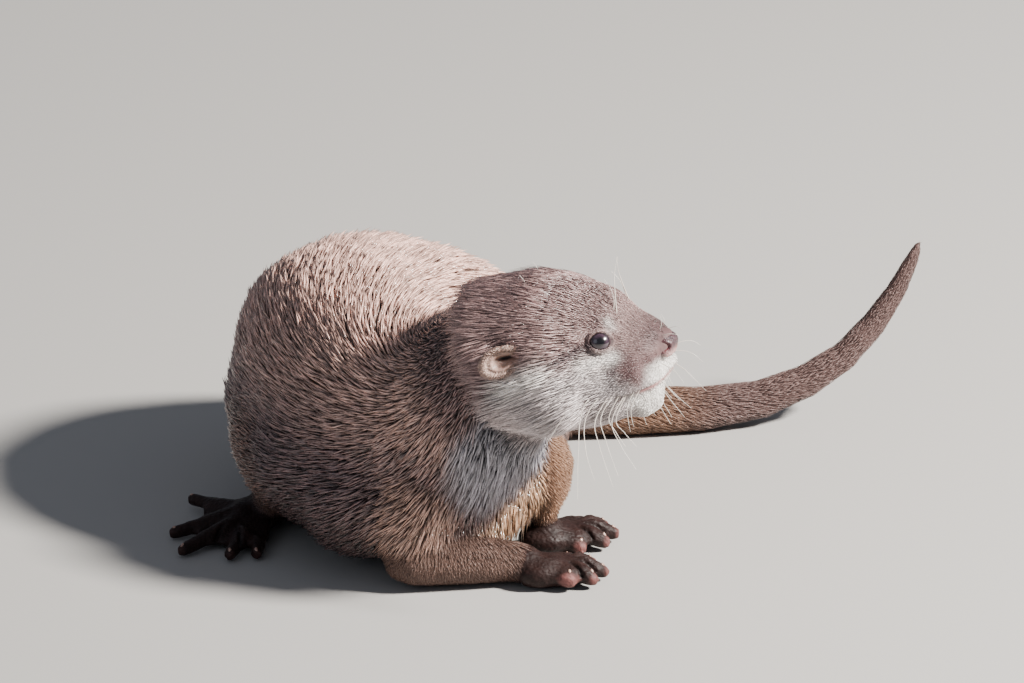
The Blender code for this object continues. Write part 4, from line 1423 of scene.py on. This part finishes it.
def build_ear(side):
    mesh = ball_mesh("ear", 72, 48)
    p = points_of(mesh)
    reach = np.hypot(p[:, 0], p[:, 1])
    turn = np.arctan2(p[:, 1], p[:, 0])
    front = p[:, 2] > 0
    attached = smoothstep(0.45, 0.95, np.cos(turn))
    rim = 2.1 * hill(reach - 0.84, 0.15) * (1 - 0.9 * attached)
    rim = rim * (0.5 + 0.5 * smoothstep(-0.8, 0.2, np.sin(turn)))
    bowl = -2.6 * (1 - np.clip(reach, 0, 1) ** 2)
    ridge = 1.7 * hill(np.hypot((p[:, 0] + 0.12) / 0.42, (p[:, 1] + 0.02) / 0.5) - 1, 0.3)
    ridge = ridge * smoothstep(0.6, -0.3, np.cos(turn - 0.5))
    slit = hill(np.hypot((p[:, 0] - 0.12) / 0.34, (p[:, 1] - 0.18 + 0.2 * p[:, 0]) / 0.13), 1.0)
    flap = 1.3 * hill(np.hypot((p[:, 0] - 0.42) / 0.2, (p[:, 1] + 0.28) / 0.22), 1.0)
    height = np.where(front, 1.4 * p[:, 2] + rim + bowl + ridge - 2.4 * slit + flap, 5.5 * p[:, 2])
    forward, up, out = ear_axes(side)
    middle = head_middle("ear_" + side) + np.array((1.2, 0.9 if side == "left" else -0.9, 0.3))
    outline = 1 + 0.05 * np.cos(3 * turn + 0.6)
    shaped = middle + (forward * p[:, :1] * EAR_HALF[0] + up * p[:, 1:2] * EAR_HALF[1]) * outline[:, None]
    shaped = shaped + out * height[:, None]
    set_points(mesh, from_head(shaped))
    if np.linalg.det(np.stack([forward, up, out])) < 0:
        mesh.flip_normals()
    inside = smoothstep(0.72, 0.52, reach) * front
    keep_values(mesh, "ear_inside", "FLOAT", inside)
    keep_values(mesh, "ear_slit", "FLOAT", np.clip(slit * front * 1.3, 0, 1))
    away = unit((forward * p[:, :1] + up * p[:, 1:2]) * (1 - 2 * front[:, None]) * -1)
    away = (away - forward * 0.5 * (1 - inside)[:, None]) @ TURN_ARRAY.T
    keep_values(mesh, "hair_way", "FLOAT_VECTOR", unit(along_surface(away, normals_of(mesh))))
    keep_values(mesh, "skin_up", "FLOAT_VECTOR", normals_of(mesh))
    keep_values(mesh, "hide", "FLOAT_COLOR", np.tile((*EAR_BROWN, 1), (len(p), 1)))
    keep_values(mesh, "growth", "FLOAT", 1 - inside)
    for name, value in EAR_LOCKS.items():
        keep_values(mesh, name, "FLOAT", np.full(len(p), value))
    number_faces(mesh, np.full(len(mesh.polygons), COAT_PARTS["ears"]))
    mesh.shade_smooth()
    piece = new_piece("ear_flap_" + side, mesh)
    unwrap(piece)
    return piece


ears = {side: build_ear(side) for side in SIDES}
print("ears are", round(EAR_HALF[0] * 2, 1), "by", round(EAR_HALF[1] * 2, 1), "mm")

# %% [markdown]
# ## Nails
# This species has only small blunt nails that don't reach past the soft tips of the toes.
# Each nail is a short curved plate set on the top of its toe.

# %% Nails
NAIL_HALF_WIDE = 0.85
NAIL_LONG = 2.4
NAIL_STEPS = 8


def nail_rows(claw, ground):
    """A curved plate that follows the toe's skin, a third of it sunk in."""
    centre = np.array(middle_of(claw))
    away = centre - np.array(middle_of(claw.rsplit("_claw", 1)[0]))
    way = unit(away[None] * (1, 1, 0))[0]
    aside = np.cross(way, (0.0, 0.0, 1.0))
    rows = []
    for n in range(NAIL_STEPS + 1):
        t = n / NAIL_STEPS
        wide = NAIL_HALF_WIDE * math.sqrt(max(1 - t ** 3, 0.02)) * (0.75 + 0.25 * min(4 * t, 1))
        thick = 0.42 * (1 - 0.6 * t)
        place, above, _, _ = ground.find_nearest(Vector(centre + way * (t - 0.45) * NAIL_LONG * MM))
        row = []
        for k in range(NAIL_STEPS):
            angle = 2 * math.pi * k / NAIL_STEPS
            rise = math.sin(angle) * thick - 0.35 * math.cos(angle) ** 2 + 0.12
            row.append(np.array(place) + (aside * math.cos(angle) * wide + np.array(above) * rise) * MM)
        rows.append(row)
    return rows


def build_nails():
    points, faces = [], []
    ground = BVHTree.FromPolygons(points_of(SKIN).tolist(), [p.vertices[:] for p in SKIN.polygons])
    for claw in sorted(name for name in NODES if "claw" in name):
        rows = nail_rows(claw, ground)
        base = len(points)
        for row in rows:
            points.extend(row)
        count = NAIL_STEPS
        for start in range(base, base + count * count, count):
            for k in range(count):
                a, b = start + k, start + (k + 1) % count
                faces.append((a, b, b + count, a + count))
        faces.append([base + k for k in reversed(range(count))])
        faces.append([base + count * count + k for k in range(count)])
    mesh = bpy.data.meshes.new("nails")
    mesh.from_pydata([tuple(p) for p in points], [], faces)
    face_outwards(mesh)
    mesh.shade_smooth()
    return new_piece("nails", mesh)


nails = build_nails()
print("nails:", len(nails.data.polygons), "faces")

# %% [markdown]
# ## Whiskers
# The whiskers grow in rows from the pads beside the nose. Wet ones hang in long curves
# below the jaw, short ones bristle round the nose, and a few stand up from the brow. Each is
# drawn as a bent line, and a small Geometry Nodes tree turns the lines into tapered
# threads.

# %% Whisker lines
# Points of each whisker on the right side, in the head's axes, and its thickness at the root.
WHISKERS = (
    (((30.5, -22.0, -8.0), (19.5, -31.4, -17.6), (17.0, -39.0, -36.0), (16.3, -46.6, -55.8)), 0.46),
    (((32.5, -21.5, -8.6), (20.8, -31.6, -21.0), (20.1, -37.7, -35.9), (23.6, -41.1, -49.2)), 0.46),
    (((34.0, -21.0, -9.4), (24.4, -30.6, -23.3), (25.6, -34.7, -34.2), (31.2, -39.3, -53.0)), 0.44),
    (((36.0, -20.5, -9.6), (26.8, -29.6, -22.4), (28.6, -33.1, -33.4), (33.4, -36.7, -48.7)), 0.44),
    (((38.0, -19.5, -9.8), (30.0, -28.2, -22.9), (32.6, -30.0, -30.0), (37.0, -31.0, -37.3)), 0.40),
    (((40.0, -18.5, -10.4), (32.8, -27.4, -24.6), (36.4, -29.0, -31.0), (41.2, -29.3, -37.5)), 0.40),
    (((39.0, -19.5, -12.0), (31.2, -28.6, -24.8), (34.5, -31.4, -35.6), (41.0, -33.0, -47.3)), 0.42),
    (((42.0, -18.0, -12.0), (38.0, -24.0, -19.5), (37.9, -26.0, -25.0), (38.8, -27.8, -31.0)), 0.34),
    (((44.0, -16.5, -12.0), (39.8, -23.0, -19.7), (39.3, -25.0, -24.0), (40.2, -26.5, -29.0)), 0.34),
    (((48.5, -10.0, -12.0), (53.2, -11.2, -16.0), (57.5, -11.2, -21.0), (62.5, -10.7, -26.5)), 0.32),
    (((50.5, -8.0, -6.0), (55.0, -10.5, -7.0), (59.0, -12.0, -9.5), (62.0, -13.0, -13.5)), 0.28),
    (((50.5, -9.5, -3.5), (54.5, -12.5, -3.0), (58.0, -15.0, -4.0), (60.5, -17.0, -7.0)), 0.26),
    (((49.0, -4.0, 5.5), (53.0, -4.8, 6.6), (56.0, -4.4, 6.8), (59.0, -3.0, 5.6)), 0.24),
    (((48.0, -2.5, 6.5), (50.6, -2.4, 9.4), (51.0, -1.6, 12.0), (50.4, -0.7, 14.6)), 0.24),
    (((15.0, -31.0, -10.5), (12.6, -35.0, -18.0), (7.0, -40.0, -26.0), (0.6, -45.6, -35.5)), 0.32),
    (((33.0, -8.6, 18.0), (32.4, -5.4, 27.0), (32.3, -2.6, 35.0), (33.8, 0.2, 42.5)), 0.44),
    (((31.4, -9.6, 18.0), (32.0, -7.0, 24.0), (30.8, -5.8, 29.5), (28.0, -5.0, 33.8)), 0.30),
    (((-8.0, -8.0, 30.0), (-8.6, -8.4, 33.5), (-9.6, -8.6, 36.0), (-11.0, -8.8, 38.0)), 0.26),
)
WHISKER_STEPS = 14
WHISKER_STOUT = 1.3
WHISKER_TAPER = 0.8
WHISKER_SIDES = 6


def bend_through(stops, t):
    """A smooth curve through four points."""
    spots = [Vector(s) for s in stops]
    spots = [spots[0] * 2 - spots[1], *spots, spots[-1] * 2 - spots[-2]]
    reach = t * 3
    n = min(int(reach), 2)
    f = reach - n
    a, b, c, d = spots[n:n + 4]
    square, cube = 2 * a - 5 * b + 4 * c - d, 3 * b - a - 3 * c + d
    return 0.5 * (2 * b + (c - a) * f + square * f * f + cube * f ** 3)


def whisker_lines():
    points, edges, thickness, along, strip = [], [], [], [], []
    for way in (1, -1):
        for number, (stops, thick) in enumerate(WHISKERS):
            base = len(points)
            for n in range(WHISKER_STEPS + 1):
                t = n / WHISKER_STEPS
                p = bend_through(stops, t)
                points.append(from_head(np.array((p.x, p.y * way, p.z))))
                thickness.append(thick * MM / 2 * WHISKER_STOUT * (1 - WHISKER_TAPER * t))
                along.append(t)
                strip.append(number + (len(WHISKERS) if way < 0 else 0))
                if n:
                    edges.append((base + n - 1, base + n))
    mesh = bpy.data.meshes.new("whisker lines")
    mesh.from_pydata([tuple(p) for p in points], edges, [])
    keep_values(mesh, "thickness", "FLOAT", thickness)
    keep_values(mesh, "along", "FLOAT", along)
    keep_values(mesh, "strip", "FLOAT", strip)
    return mesh


def thread_tree():
    inputs = (("Lines", "Geometry"), ("Sides", "Int"), ("Thread finish", "Material"))
    tree = new_tree("spin threads", inputs, "Threads")
    given = add_node(tree, "NodeGroupInput").outputs
    curves = add_node(tree, "GeometryNodeMeshToCurve", [("Mesh", given["Lines"])])
    radius = add_node(tree, "GeometryNodeInputNamedAttribute", [("Name", "thickness")])
    circle = [("Radius", 1.0), ("Resolution", given["Sides"])]
    ring = add_node(tree, "GeometryNodeCurvePrimitiveCircle", circle)
    tube = [("Fill Caps", True), ("Curve", curves.outputs[0]), ("Profile Curve", ring.outputs[0]),
            ("Scale", radius.outputs[0])]
    solid = add_node(tree, "GeometryNodeCurveToMesh", tube)
    real = add_node(tree, "GeometryNodeRealizeInstances", [(0, solid.outputs[0])])
    finish = [("Geometry", real.outputs[0]), ("Material", given["Thread finish"])]
    finished = add_node(tree, "GeometryNodeSetMaterial", finish)
    add_node(tree, "NodeGroupOutput", [(0, finished.outputs[0])])
    return tree


def spin_whiskers():
    piece = new_piece("whiskers", whisker_lines())
    run_tree(piece, thread_tree(), {"Sides": WHISKER_SIDES, "Thread finish": WHISKER_FINISH})
    return piece


def lay_threads_flat(mesh):
    """Each whisker gets a strip of its own on the map, from root to tip."""
    corner_points = read(mesh.loops, "vertex_index", 1, np.int32)[:, 0]
    along, strip = (read(mesh.attributes[name].data, "value", 1, np.float32)[corner_points, 0]
                    for name in ("along", "strip"))
    order = np.arange(len(mesh.loops)) % 4
    across = strip + 0.2 + 0.6 * ((order == 1) | (order == 2))
    flat = np.column_stack([across / (2 * len(WHISKERS)), 0.01 + 0.98 * along])
    layer = mesh.uv_layers.get("OFBake") or mesh.uv_layers.new(name="OFBake")
    layer.data.foreach_set("uv", flat.astype(np.float32).ravel())


print("whisker kinds:", len(WHISKERS), "on each side")

# %% [markdown]
# ## Finishes
# Fur: a lock is dark at its root, partly as wet hair and partly as painted shade deep in the
# coat, and light at its tip, partly its own colour and partly a painted highlight. Skin and
# coat read the same hide colour, so the markings agree. The bare paws are wrinkled and moist,
# the nose is pebbled leather, the nails are horn, and the eyes are almost black with a clear,
# wet coat. Small noises break up every colour.

# %% Tools for finishes
def opaque(red, green, blue):
    return (*linear(red, green, blue), 1)


class Finish:
    """A Principled shader with a few short ways to wire nodes into it."""

    def __init__(self, name, roughness, **sockets):
        self.material = bpy.data.materials.new(name)
        self.material.use_nodes = True
        self.tree = self.material.node_tree
        self.shader = self.tree.nodes["Principled BSDF"]
        self.shader.inputs["Roughness"].default_value = roughness
        for socket, value in sockets.items():
            self.shader.inputs[socket.replace("_", " ")].default_value = value

    def add(self, kind, inputs=(), **settings):
        return add_node(self.tree, kind, inputs, **settings)

    def value(self, name):
        return self.add("ShaderNodeAttribute", attribute_name=name).outputs["Fac"]

    def colour(self, name):
        return self.add("ShaderNodeAttribute", attribute_name=name).outputs["Color"]

    def noise(self, scale, detail=2.0, stretch=None):
        place = self.add("ShaderNodeTexCoord").outputs["Object"]
        if stretch:
            place = self.add("ShaderNodeMapping", [("Vector", place), ("Scale", stretch)]).outputs[0]
        wanted = [("Vector", place), ("Scale", scale), ("Detail", detail)]
        return self.add("ShaderNodeTexNoise", wanted).outputs[0]

    def cells(self, scale, feature="F1"):
        place = self.add("ShaderNodeTexCoord").outputs["Object"]
        cells = self.add("ShaderNodeTexVoronoi", [("Vector", place), ("Scale", scale)], feature=feature)
        return cells.outputs["Distance"]

    def span(self, value, low, high, start=0.0, end=1.0):
        """The value's range from start to end, stretched to run from low to high."""
        wanted = [("Value", value), ("From Min", start), ("From Max", end)]
        wanted += [("To Min", low), ("To Max", high)]
        return self.add("ShaderNodeMapRange", wanted).outputs[0]

    def maths(self, operation, first, second):
        return self.add("ShaderNodeMath", [(0, first), (1, second)], operation=operation).outputs[0]

    def times(self, colour, factor):
        wanted = [(0, colour), ("Scale", factor)]
        return self.add("ShaderNodeVectorMath", wanted, operation="SCALE").outputs[0]

    def mix(self, share, first, second):
        return self.add("ShaderNodeMix", [(0, share), (6, first), (7, second)], data_type="RGBA").outputs[2]

    def drive(self, socket, value):
        self.tree.links.new(value, self.shader.inputs[socket])

    def paint(self, colour):
        self.drive("Base Color", colour)

    def bump(self, height, distance, strength=1.0):
        wanted = [("Height", height), ("Distance", distance), ("Strength", strength)]
        node = self.add("ShaderNodeBump", wanted)
        self.drive("Normal", node.outputs[0])


print("finish tools ready")

# %% Fur
def fur_finish(name, root_shade, tip, slope, tones, roughness, sheen=0.9):
    """Locks: the hide's colour, darker at the root, partly wet hair and partly painted shade, lighter at the
    tip, partly a painted highlight, each with its own tone.
    """
    fur = Finish(name, roughness, Specular_IOR_Level=sheen)
    # Painted shade at the root, partly the wet hair's own darkness, and a painted highlight towards the tip;
    # where the root is darker, the tip grows lighter.
    root = fur.maths("MULTIPLY", fur.value("root_light"), root_shade)
    far = fur.maths("SUBTRACT", tip, fur.maths("MULTIPLY", root, slope))
    grow_light = fur.span(fur.value("along"), root, far, 0.0, 0.85)
    own = fur.span(fur.value("own_tone"), *tones)
    streak = fur.span(fur.noise(900.0), 0.82, 1.18, 0.3, 0.7)
    light = fur.maths("MULTIPLY", fur.maths("MULTIPLY", grow_light, own), streak)
    fur.paint(fur.times(fur.colour("hide"), light))
    return fur.material


UNDER_FUR = fur_finish("under fur", 0.8, 1.2, 0.5, (0.7, 1.15), 0.4)
GUARD_FUR = fur_finish("guard fur", 1.0, 2.3, 1.0, (0.48, 1.7), 0.2)
SLEEK_UNDER = fur_finish("sleek under fur", 1.0, 1.25, 0.4, (0.96, 1.04), 0.46, 0.4)
SLEEK_GUARD = fur_finish("sleek guard fur", 1.0, 1.6, 1.0, (0.92, 1.1), 0.4, 0.5)
FINE_UNDER = fur_finish("fine under fur", 0.8, 1.15, 0.4, (0.7, 1.15), 0.42)
FINE_GUARD = fur_finish("fine guard fur", 1.0, 2.1, 1.0, (0.55, 1.6), 0.3)
FURS = (UNDER_FUR, GUARD_FUR, FINE_UNDER, FINE_GUARD, SLEEK_UNDER, SLEEK_GUARD)
print("fur finishes:", [fur.name for fur in FURS])

# %% Skin, paws and ears
def skin_finish():
    """Dark under the coat; wrinkled and moist on the bare paws."""
    hide = Finish("hide and bare paws", 0.42, Specular_IOR_Level=0.22)
    bare = hide.span(hide.value("bare"), 0.0, 1.0, 0.3, 0.75)
    mottled = hide.span(hide.noise(260.0, 4.0), 0.72, 1.3, 0.3, 0.7)
    under = hide.times(hide.colour("hide"), 0.62)
    worn = hide.times(hide.colour("hide"), mottled)
    hide.paint(hide.mix(bare, under, worn))
    wrinkles = hide.cells(620.0, "SMOOTH_F1")
    creases = hide.noise(420.0, 3.0, (1.0, 2.6, 1.0))
    height = hide.maths("ADD", hide.maths("MULTIPLY", wrinkles, 0.6), hide.maths("MULTIPLY", creases, 0.7))
    hide.bump(hide.maths("MULTIPLY", height, hide.span(bare, 0.35, 1.0)), 0.0006)
    wetness = hide.span(hide.noise(150.0), 0.5, 0.66, 0.35, 0.65)
    hide.drive("Roughness", hide.mix(bare, (0.55, 0.55, 0.55, 1), wetness))
    return hide.material


def ear_finish():
    """Thin furred skin outside; bare warm skin inside, partly its own colour and partly painted shade of the
    bowl; dark painted shade in the slit.
    """
    ear = Finish("ear skin", 0.45, Subsurface_Weight=0.12, Subsurface_Scale=0.002)
    # Partly painted shade: the inside is darkened for the bowl's shade, and the slit is darker still.
    inner = ear.mix(ear.value("ear_slit"), opaque(160, 130, 118), opaque(40, 30, 32))
    outer = ear.times(ear.colour("hide"), 0.6)
    mottled = ear.span(ear.noise(500.0, 3.0), 0.8, 1.2, 0.3, 0.7)
    ear.paint(ear.times(ear.mix(ear.value("ear_inside"), outer, inner), mottled))
    ear.bump(ear.noise(700.0, 3.0), 0.0004)
    return ear.material


SKIN_FINISH = skin_finish()
EAR_FINISH = ear_finish()
print("skin finishes:", SKIN_FINISH.name, "and", EAR_FINISH.name)

# %% Nose, eyes, nails and whiskers
def nose_finish():
    """Pebbled leather: dark above, pale and pink below, and deep red inside the nostrils and along the
    groove, partly their own red and partly painted shade in those hollows.
    """
    pad = Finish("nose leather", 0.42, Subsurface_Weight=0.1, Subsurface_Scale=0.002, Coat_Weight=0.15,
                 Coat_Roughness=0.18)
    mottled = pad.span(pad.noise(420.0, 3.0), 0.0, 1.0, 0.35, 0.68)
    upper = pad.mix(mottled, opaque(50, 33, 38), opaque(76, 52, 57))
    lower = pad.mix(mottled, opaque(176, 134, 132), opaque(208, 170, 166))
    leather = pad.mix(pad.value("nose_low"), upper, lower)
    # Partly painted shade: the nostrils and the groove below them are darkened to a deep red.
    pad.paint(pad.mix(pad.value("nostril"), leather, opaque(92, 18, 26)))
    pad.bump(pad.cells(1500.0, "SMOOTH_F1"), 0.0005, 0.8)
    return pad.material


def eye_finish():
    """Pupil, fibrous iris, dark ring and dull white, from the middle outwards."""
    eye = Finish("wet eye", 0.22, Coat_Weight=1.0, Coat_Roughness=0.02, Specular_IOR_Level=0.5)
    out = eye.value("from_pupil")
    fibres = eye.span(eye.noise(1500.0, 3.0), 0.7, 1.4, 0.35, 0.65)
    iris = eye.mix(eye.span(out, 0.0, 1.0, 1.6, 3.4), opaque(26, 17, 24), opaque(56, 40, 52))
    seen = eye.mix(eye.span(out, 0.0, 1.0, 1.5, 1.9), opaque(8, 6, 10), eye.times(iris, fibres))
    ring = eye.mix(eye.span(out, 0.0, 1.0, 3.4, 3.9), seen, opaque(22, 14, 18))
    eye.paint(eye.mix(eye.span(out, 0.0, 1.0, 4.1, 4.7), ring, opaque(60, 44, 48)))
    return eye.material


def nail_finish():
    nail = Finish("nail horn", 0.3, Coat_Weight=0.3)
    streaks = nail.span(nail.noise(900.0, 3.0, (1.0, 3.0, 1.0)), 0.0, 1.0, 0.35, 0.65)
    nail.paint(nail.mix(streaks, opaque(132, 98, 88), opaque(196, 164, 148)))
    nail.bump(streaks, 0.0002, 0.5)
    return nail.material


def whisker_finish():
    whisker = Finish("whisker", 0.3, Subsurface_Weight=0.0)
    tone = whisker.span(whisker.noise(120.0), 0.85, 1.1, 0.3, 0.7)
    body = whisker.mix(whisker.value("along"), opaque(206, 194, 184), opaque(246, 240, 230))
    whisker.paint(whisker.times(body, tone))
    return whisker.material


NOSE_FINISH = nose_finish()
EYE_FINISH = eye_finish()
NAIL_FINISH = nail_finish()
WHISKER_FINISH = whisker_finish()
print("small finishes:", NOSE_FINISH.name, EYE_FINISH.name, NAIL_FINISH.name, WHISKER_FINISH.name)

# %% [markdown]
# ## Growing every part
# Each part of the coat is a piece of its own, so that none grows too big, and each has
# its own spacing: fine on the face, coarser on the trunk. The pale lower face and throat
# are parts of their own.

# %% Grow each part of the coat
PATCH_SIZE = 0.003
FLOOR_CLEAR = 0.15 * MM
PRESSED_APART = 0.05
CROWDING = 1.8
# Layers: (name, longer, wider, steeper, raised as a share of a lock's length)
UNDER_LAYER = ("coat_", 0.70, 0.9, 1.0, 0.0)
GUARD_LAYER = ("guard_", 0.95, 0.85, 0.62, 0.09)
COATS = {
    # part: (slot, under finish, guard finish, under spacing, guard spacing,
    #        clump size in mm, clump pull, lean)
    "face": ("coat", FINE_UNDER, FINE_GUARD, 0.50, 0.85, 1.7, 0.5, 0.4),
    "pale_face": ("pale_coat", FINE_UNDER, FINE_GUARD, 0.52, 0.95, 1.9, 0.5, 0.4),
    "crown": ("coat", FINE_UNDER, FINE_GUARD, 0.62, 0.95, 2.2, 0.6, 0.4),
    "neck": ("coat", UNDER_FUR, GUARD_FUR, 0.95, 1.25, 3.6, 0.8, 0.6),
    "throat": ("pale_coat", FINE_UNDER, FINE_GUARD, 0.85, 1.25, 3.2, 0.8, 0.6),
    "chest": ("coat", UNDER_FUR, GUARD_FUR, 1.08, 1.22, 3.4, 0.8, 0.5),
    "loins": ("coat", UNDER_FUR, GUARD_FUR, 1.1, 1.25, 3.4, 0.8, 0.5),
    "rump": ("coat", UNDER_FUR, GUARD_FUR, 1.12, 1.28, 3.4, 0.8, 0.5),
    "rump_back": ("coat", UNDER_FUR, GUARD_FUR, 1.12, 1.28, 3.4, 0.8, 0.5),
    "limbs": ("coat", UNDER_FUR, GUARD_FUR, 0.95, 1.15, 2.8, 0.8, 0.5),
    "shanks": ("coat", SLEEK_UNDER, SLEEK_GUARD, 0.72, 1.0, 1.8, 0.4, 0.3),
    "tail": ("tail_coat", SLEEK_UNDER, SLEEK_GUARD, 0.75, 1.05, 2.2, 0.4, 0.3),
}
# The ears: spacing, clump size in mm, clump pull and lean
EAR_COAT = (0.4, 1.2, 0.4, 0.3)
RUFFLE = 0.12
THICKNESS = {"tail": 0.4, "shanks": 0.55}


def keep_off_floor(mesh):
    """Presses any lock that would reach through the floor flat against it."""
    points = points_of(mesh)
    points[:, 2] = np.maximum(points[:, 2], FLOOR_CLEAR + PRESSED_APART * np.maximum(-points[:, 2], 0))
    set_points(mesh, points)


def triangles_of(piece):
    return sum(len(p.vertices) - 2 for p in piece.data.polygons)


def grow(base, part, layer, finish, spacing, clump, pull, lean, seed):
    """Runs the tree on one piece of skin and keeps the locks as one plain mesh."""
    first, longer, wider, steeper, raised = layer
    piece = new_piece(first + part, base.data.copy())
    gap = spacing * MM
    run_tree(piece, COAT_TREE, {
        "Lock shapes": lock_shapes, "Hair finish": finish,
        "Part number": COAT_PARTS.get(part, COAT_PARTS["ears"]), "Spacing": gap,
        "Most per area": CROWDING / gap ** 2, "Clump size": clump * MM, "Clump pull": pull, "Raised": raised,
        "Longer": longer, "Wider": wider, "Steeper": steeper, "Lean": lean, "Ruffle": RUFFLE,
        "Patch size": PATCH_SIZE, "Seed": seed, "Thicker": THICKNESS.get(part, 1.0),
    })
    keep_off_floor(piece.data)
    print(piece.name, "has", triangles_of(piece), "triangles")
    return piece


GUARD_SEEDS = 50
EAR_SEED = 20
coats = {}
for seed, (part, (slot, under, guard, fine, coarse, *clumps)) in enumerate(COATS.items()):
    inner = grow(skin, part, UNDER_LAYER, under, fine, *clumps, seed)
    outer = grow(skin, part, GUARD_LAYER, guard, coarse, *clumps, seed + GUARD_SEEDS)
    coats["coat_" + part] = (inner, slot)
    coats["guard_" + part] = (outer, slot)
for side, base in ears.items():
    ear_coat = grow(base, "ear_" + side, UNDER_LAYER, FINE_GUARD, *EAR_COAT, EAR_SEED)
    coats["coat_ear_" + side] = (ear_coat, "coat")
triangle_total = sum(triangles_of(piece) for piece, _ in coats.values())
print("whole coat:", triangle_total, "triangles in", len(coats), "pieces")

# %% [markdown]
# ## Handing the pieces over
# Every piece rides on the one body of this still model. The skin stands for all the fleshy
# solids, and the eyes, ears, nose and nails for their own. The shapes that the locks were
# copied from have done their work and go.

# %% Whiskers and finishes on the pieces
whiskers = spin_whiskers()
lay_threads_flat(whiskers.data)
print("whiskers:", len(whiskers.data.polygons), "faces")
for piece, finish in ((skin, SKIN_FINISH), (nose, NOSE_FINISH), (nails, NAIL_FINISH)):
    piece.data.materials.clear()
    piece.data.materials.append(finish)
for side in ears:
    ears[side].data.materials.append(EAR_FINISH)
    eyes[side].data.materials.append(EYE_FINISH)
skin.data.shade_smooth()
for shape in list(lock_shapes.objects):
    bpy.data.objects.remove(shape)
bpy.data.collections.remove(lock_shapes)

# %% What each piece rides on and stands for
for part, (piece, slot) in coats.items():
    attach(piece, "root")
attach(skin, "root")
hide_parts(*FLESH)
for side in ("left", "right"):
    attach(eyes[side], "root")
    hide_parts("eye_" + side)
    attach(ears[side], "root")
    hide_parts("ear_" + side)
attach(nose, "root")
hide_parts("nose_pad")
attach(nails, "root")
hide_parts(*sorted(name for name in NODES if "claw" in name))
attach(whiskers, "root")
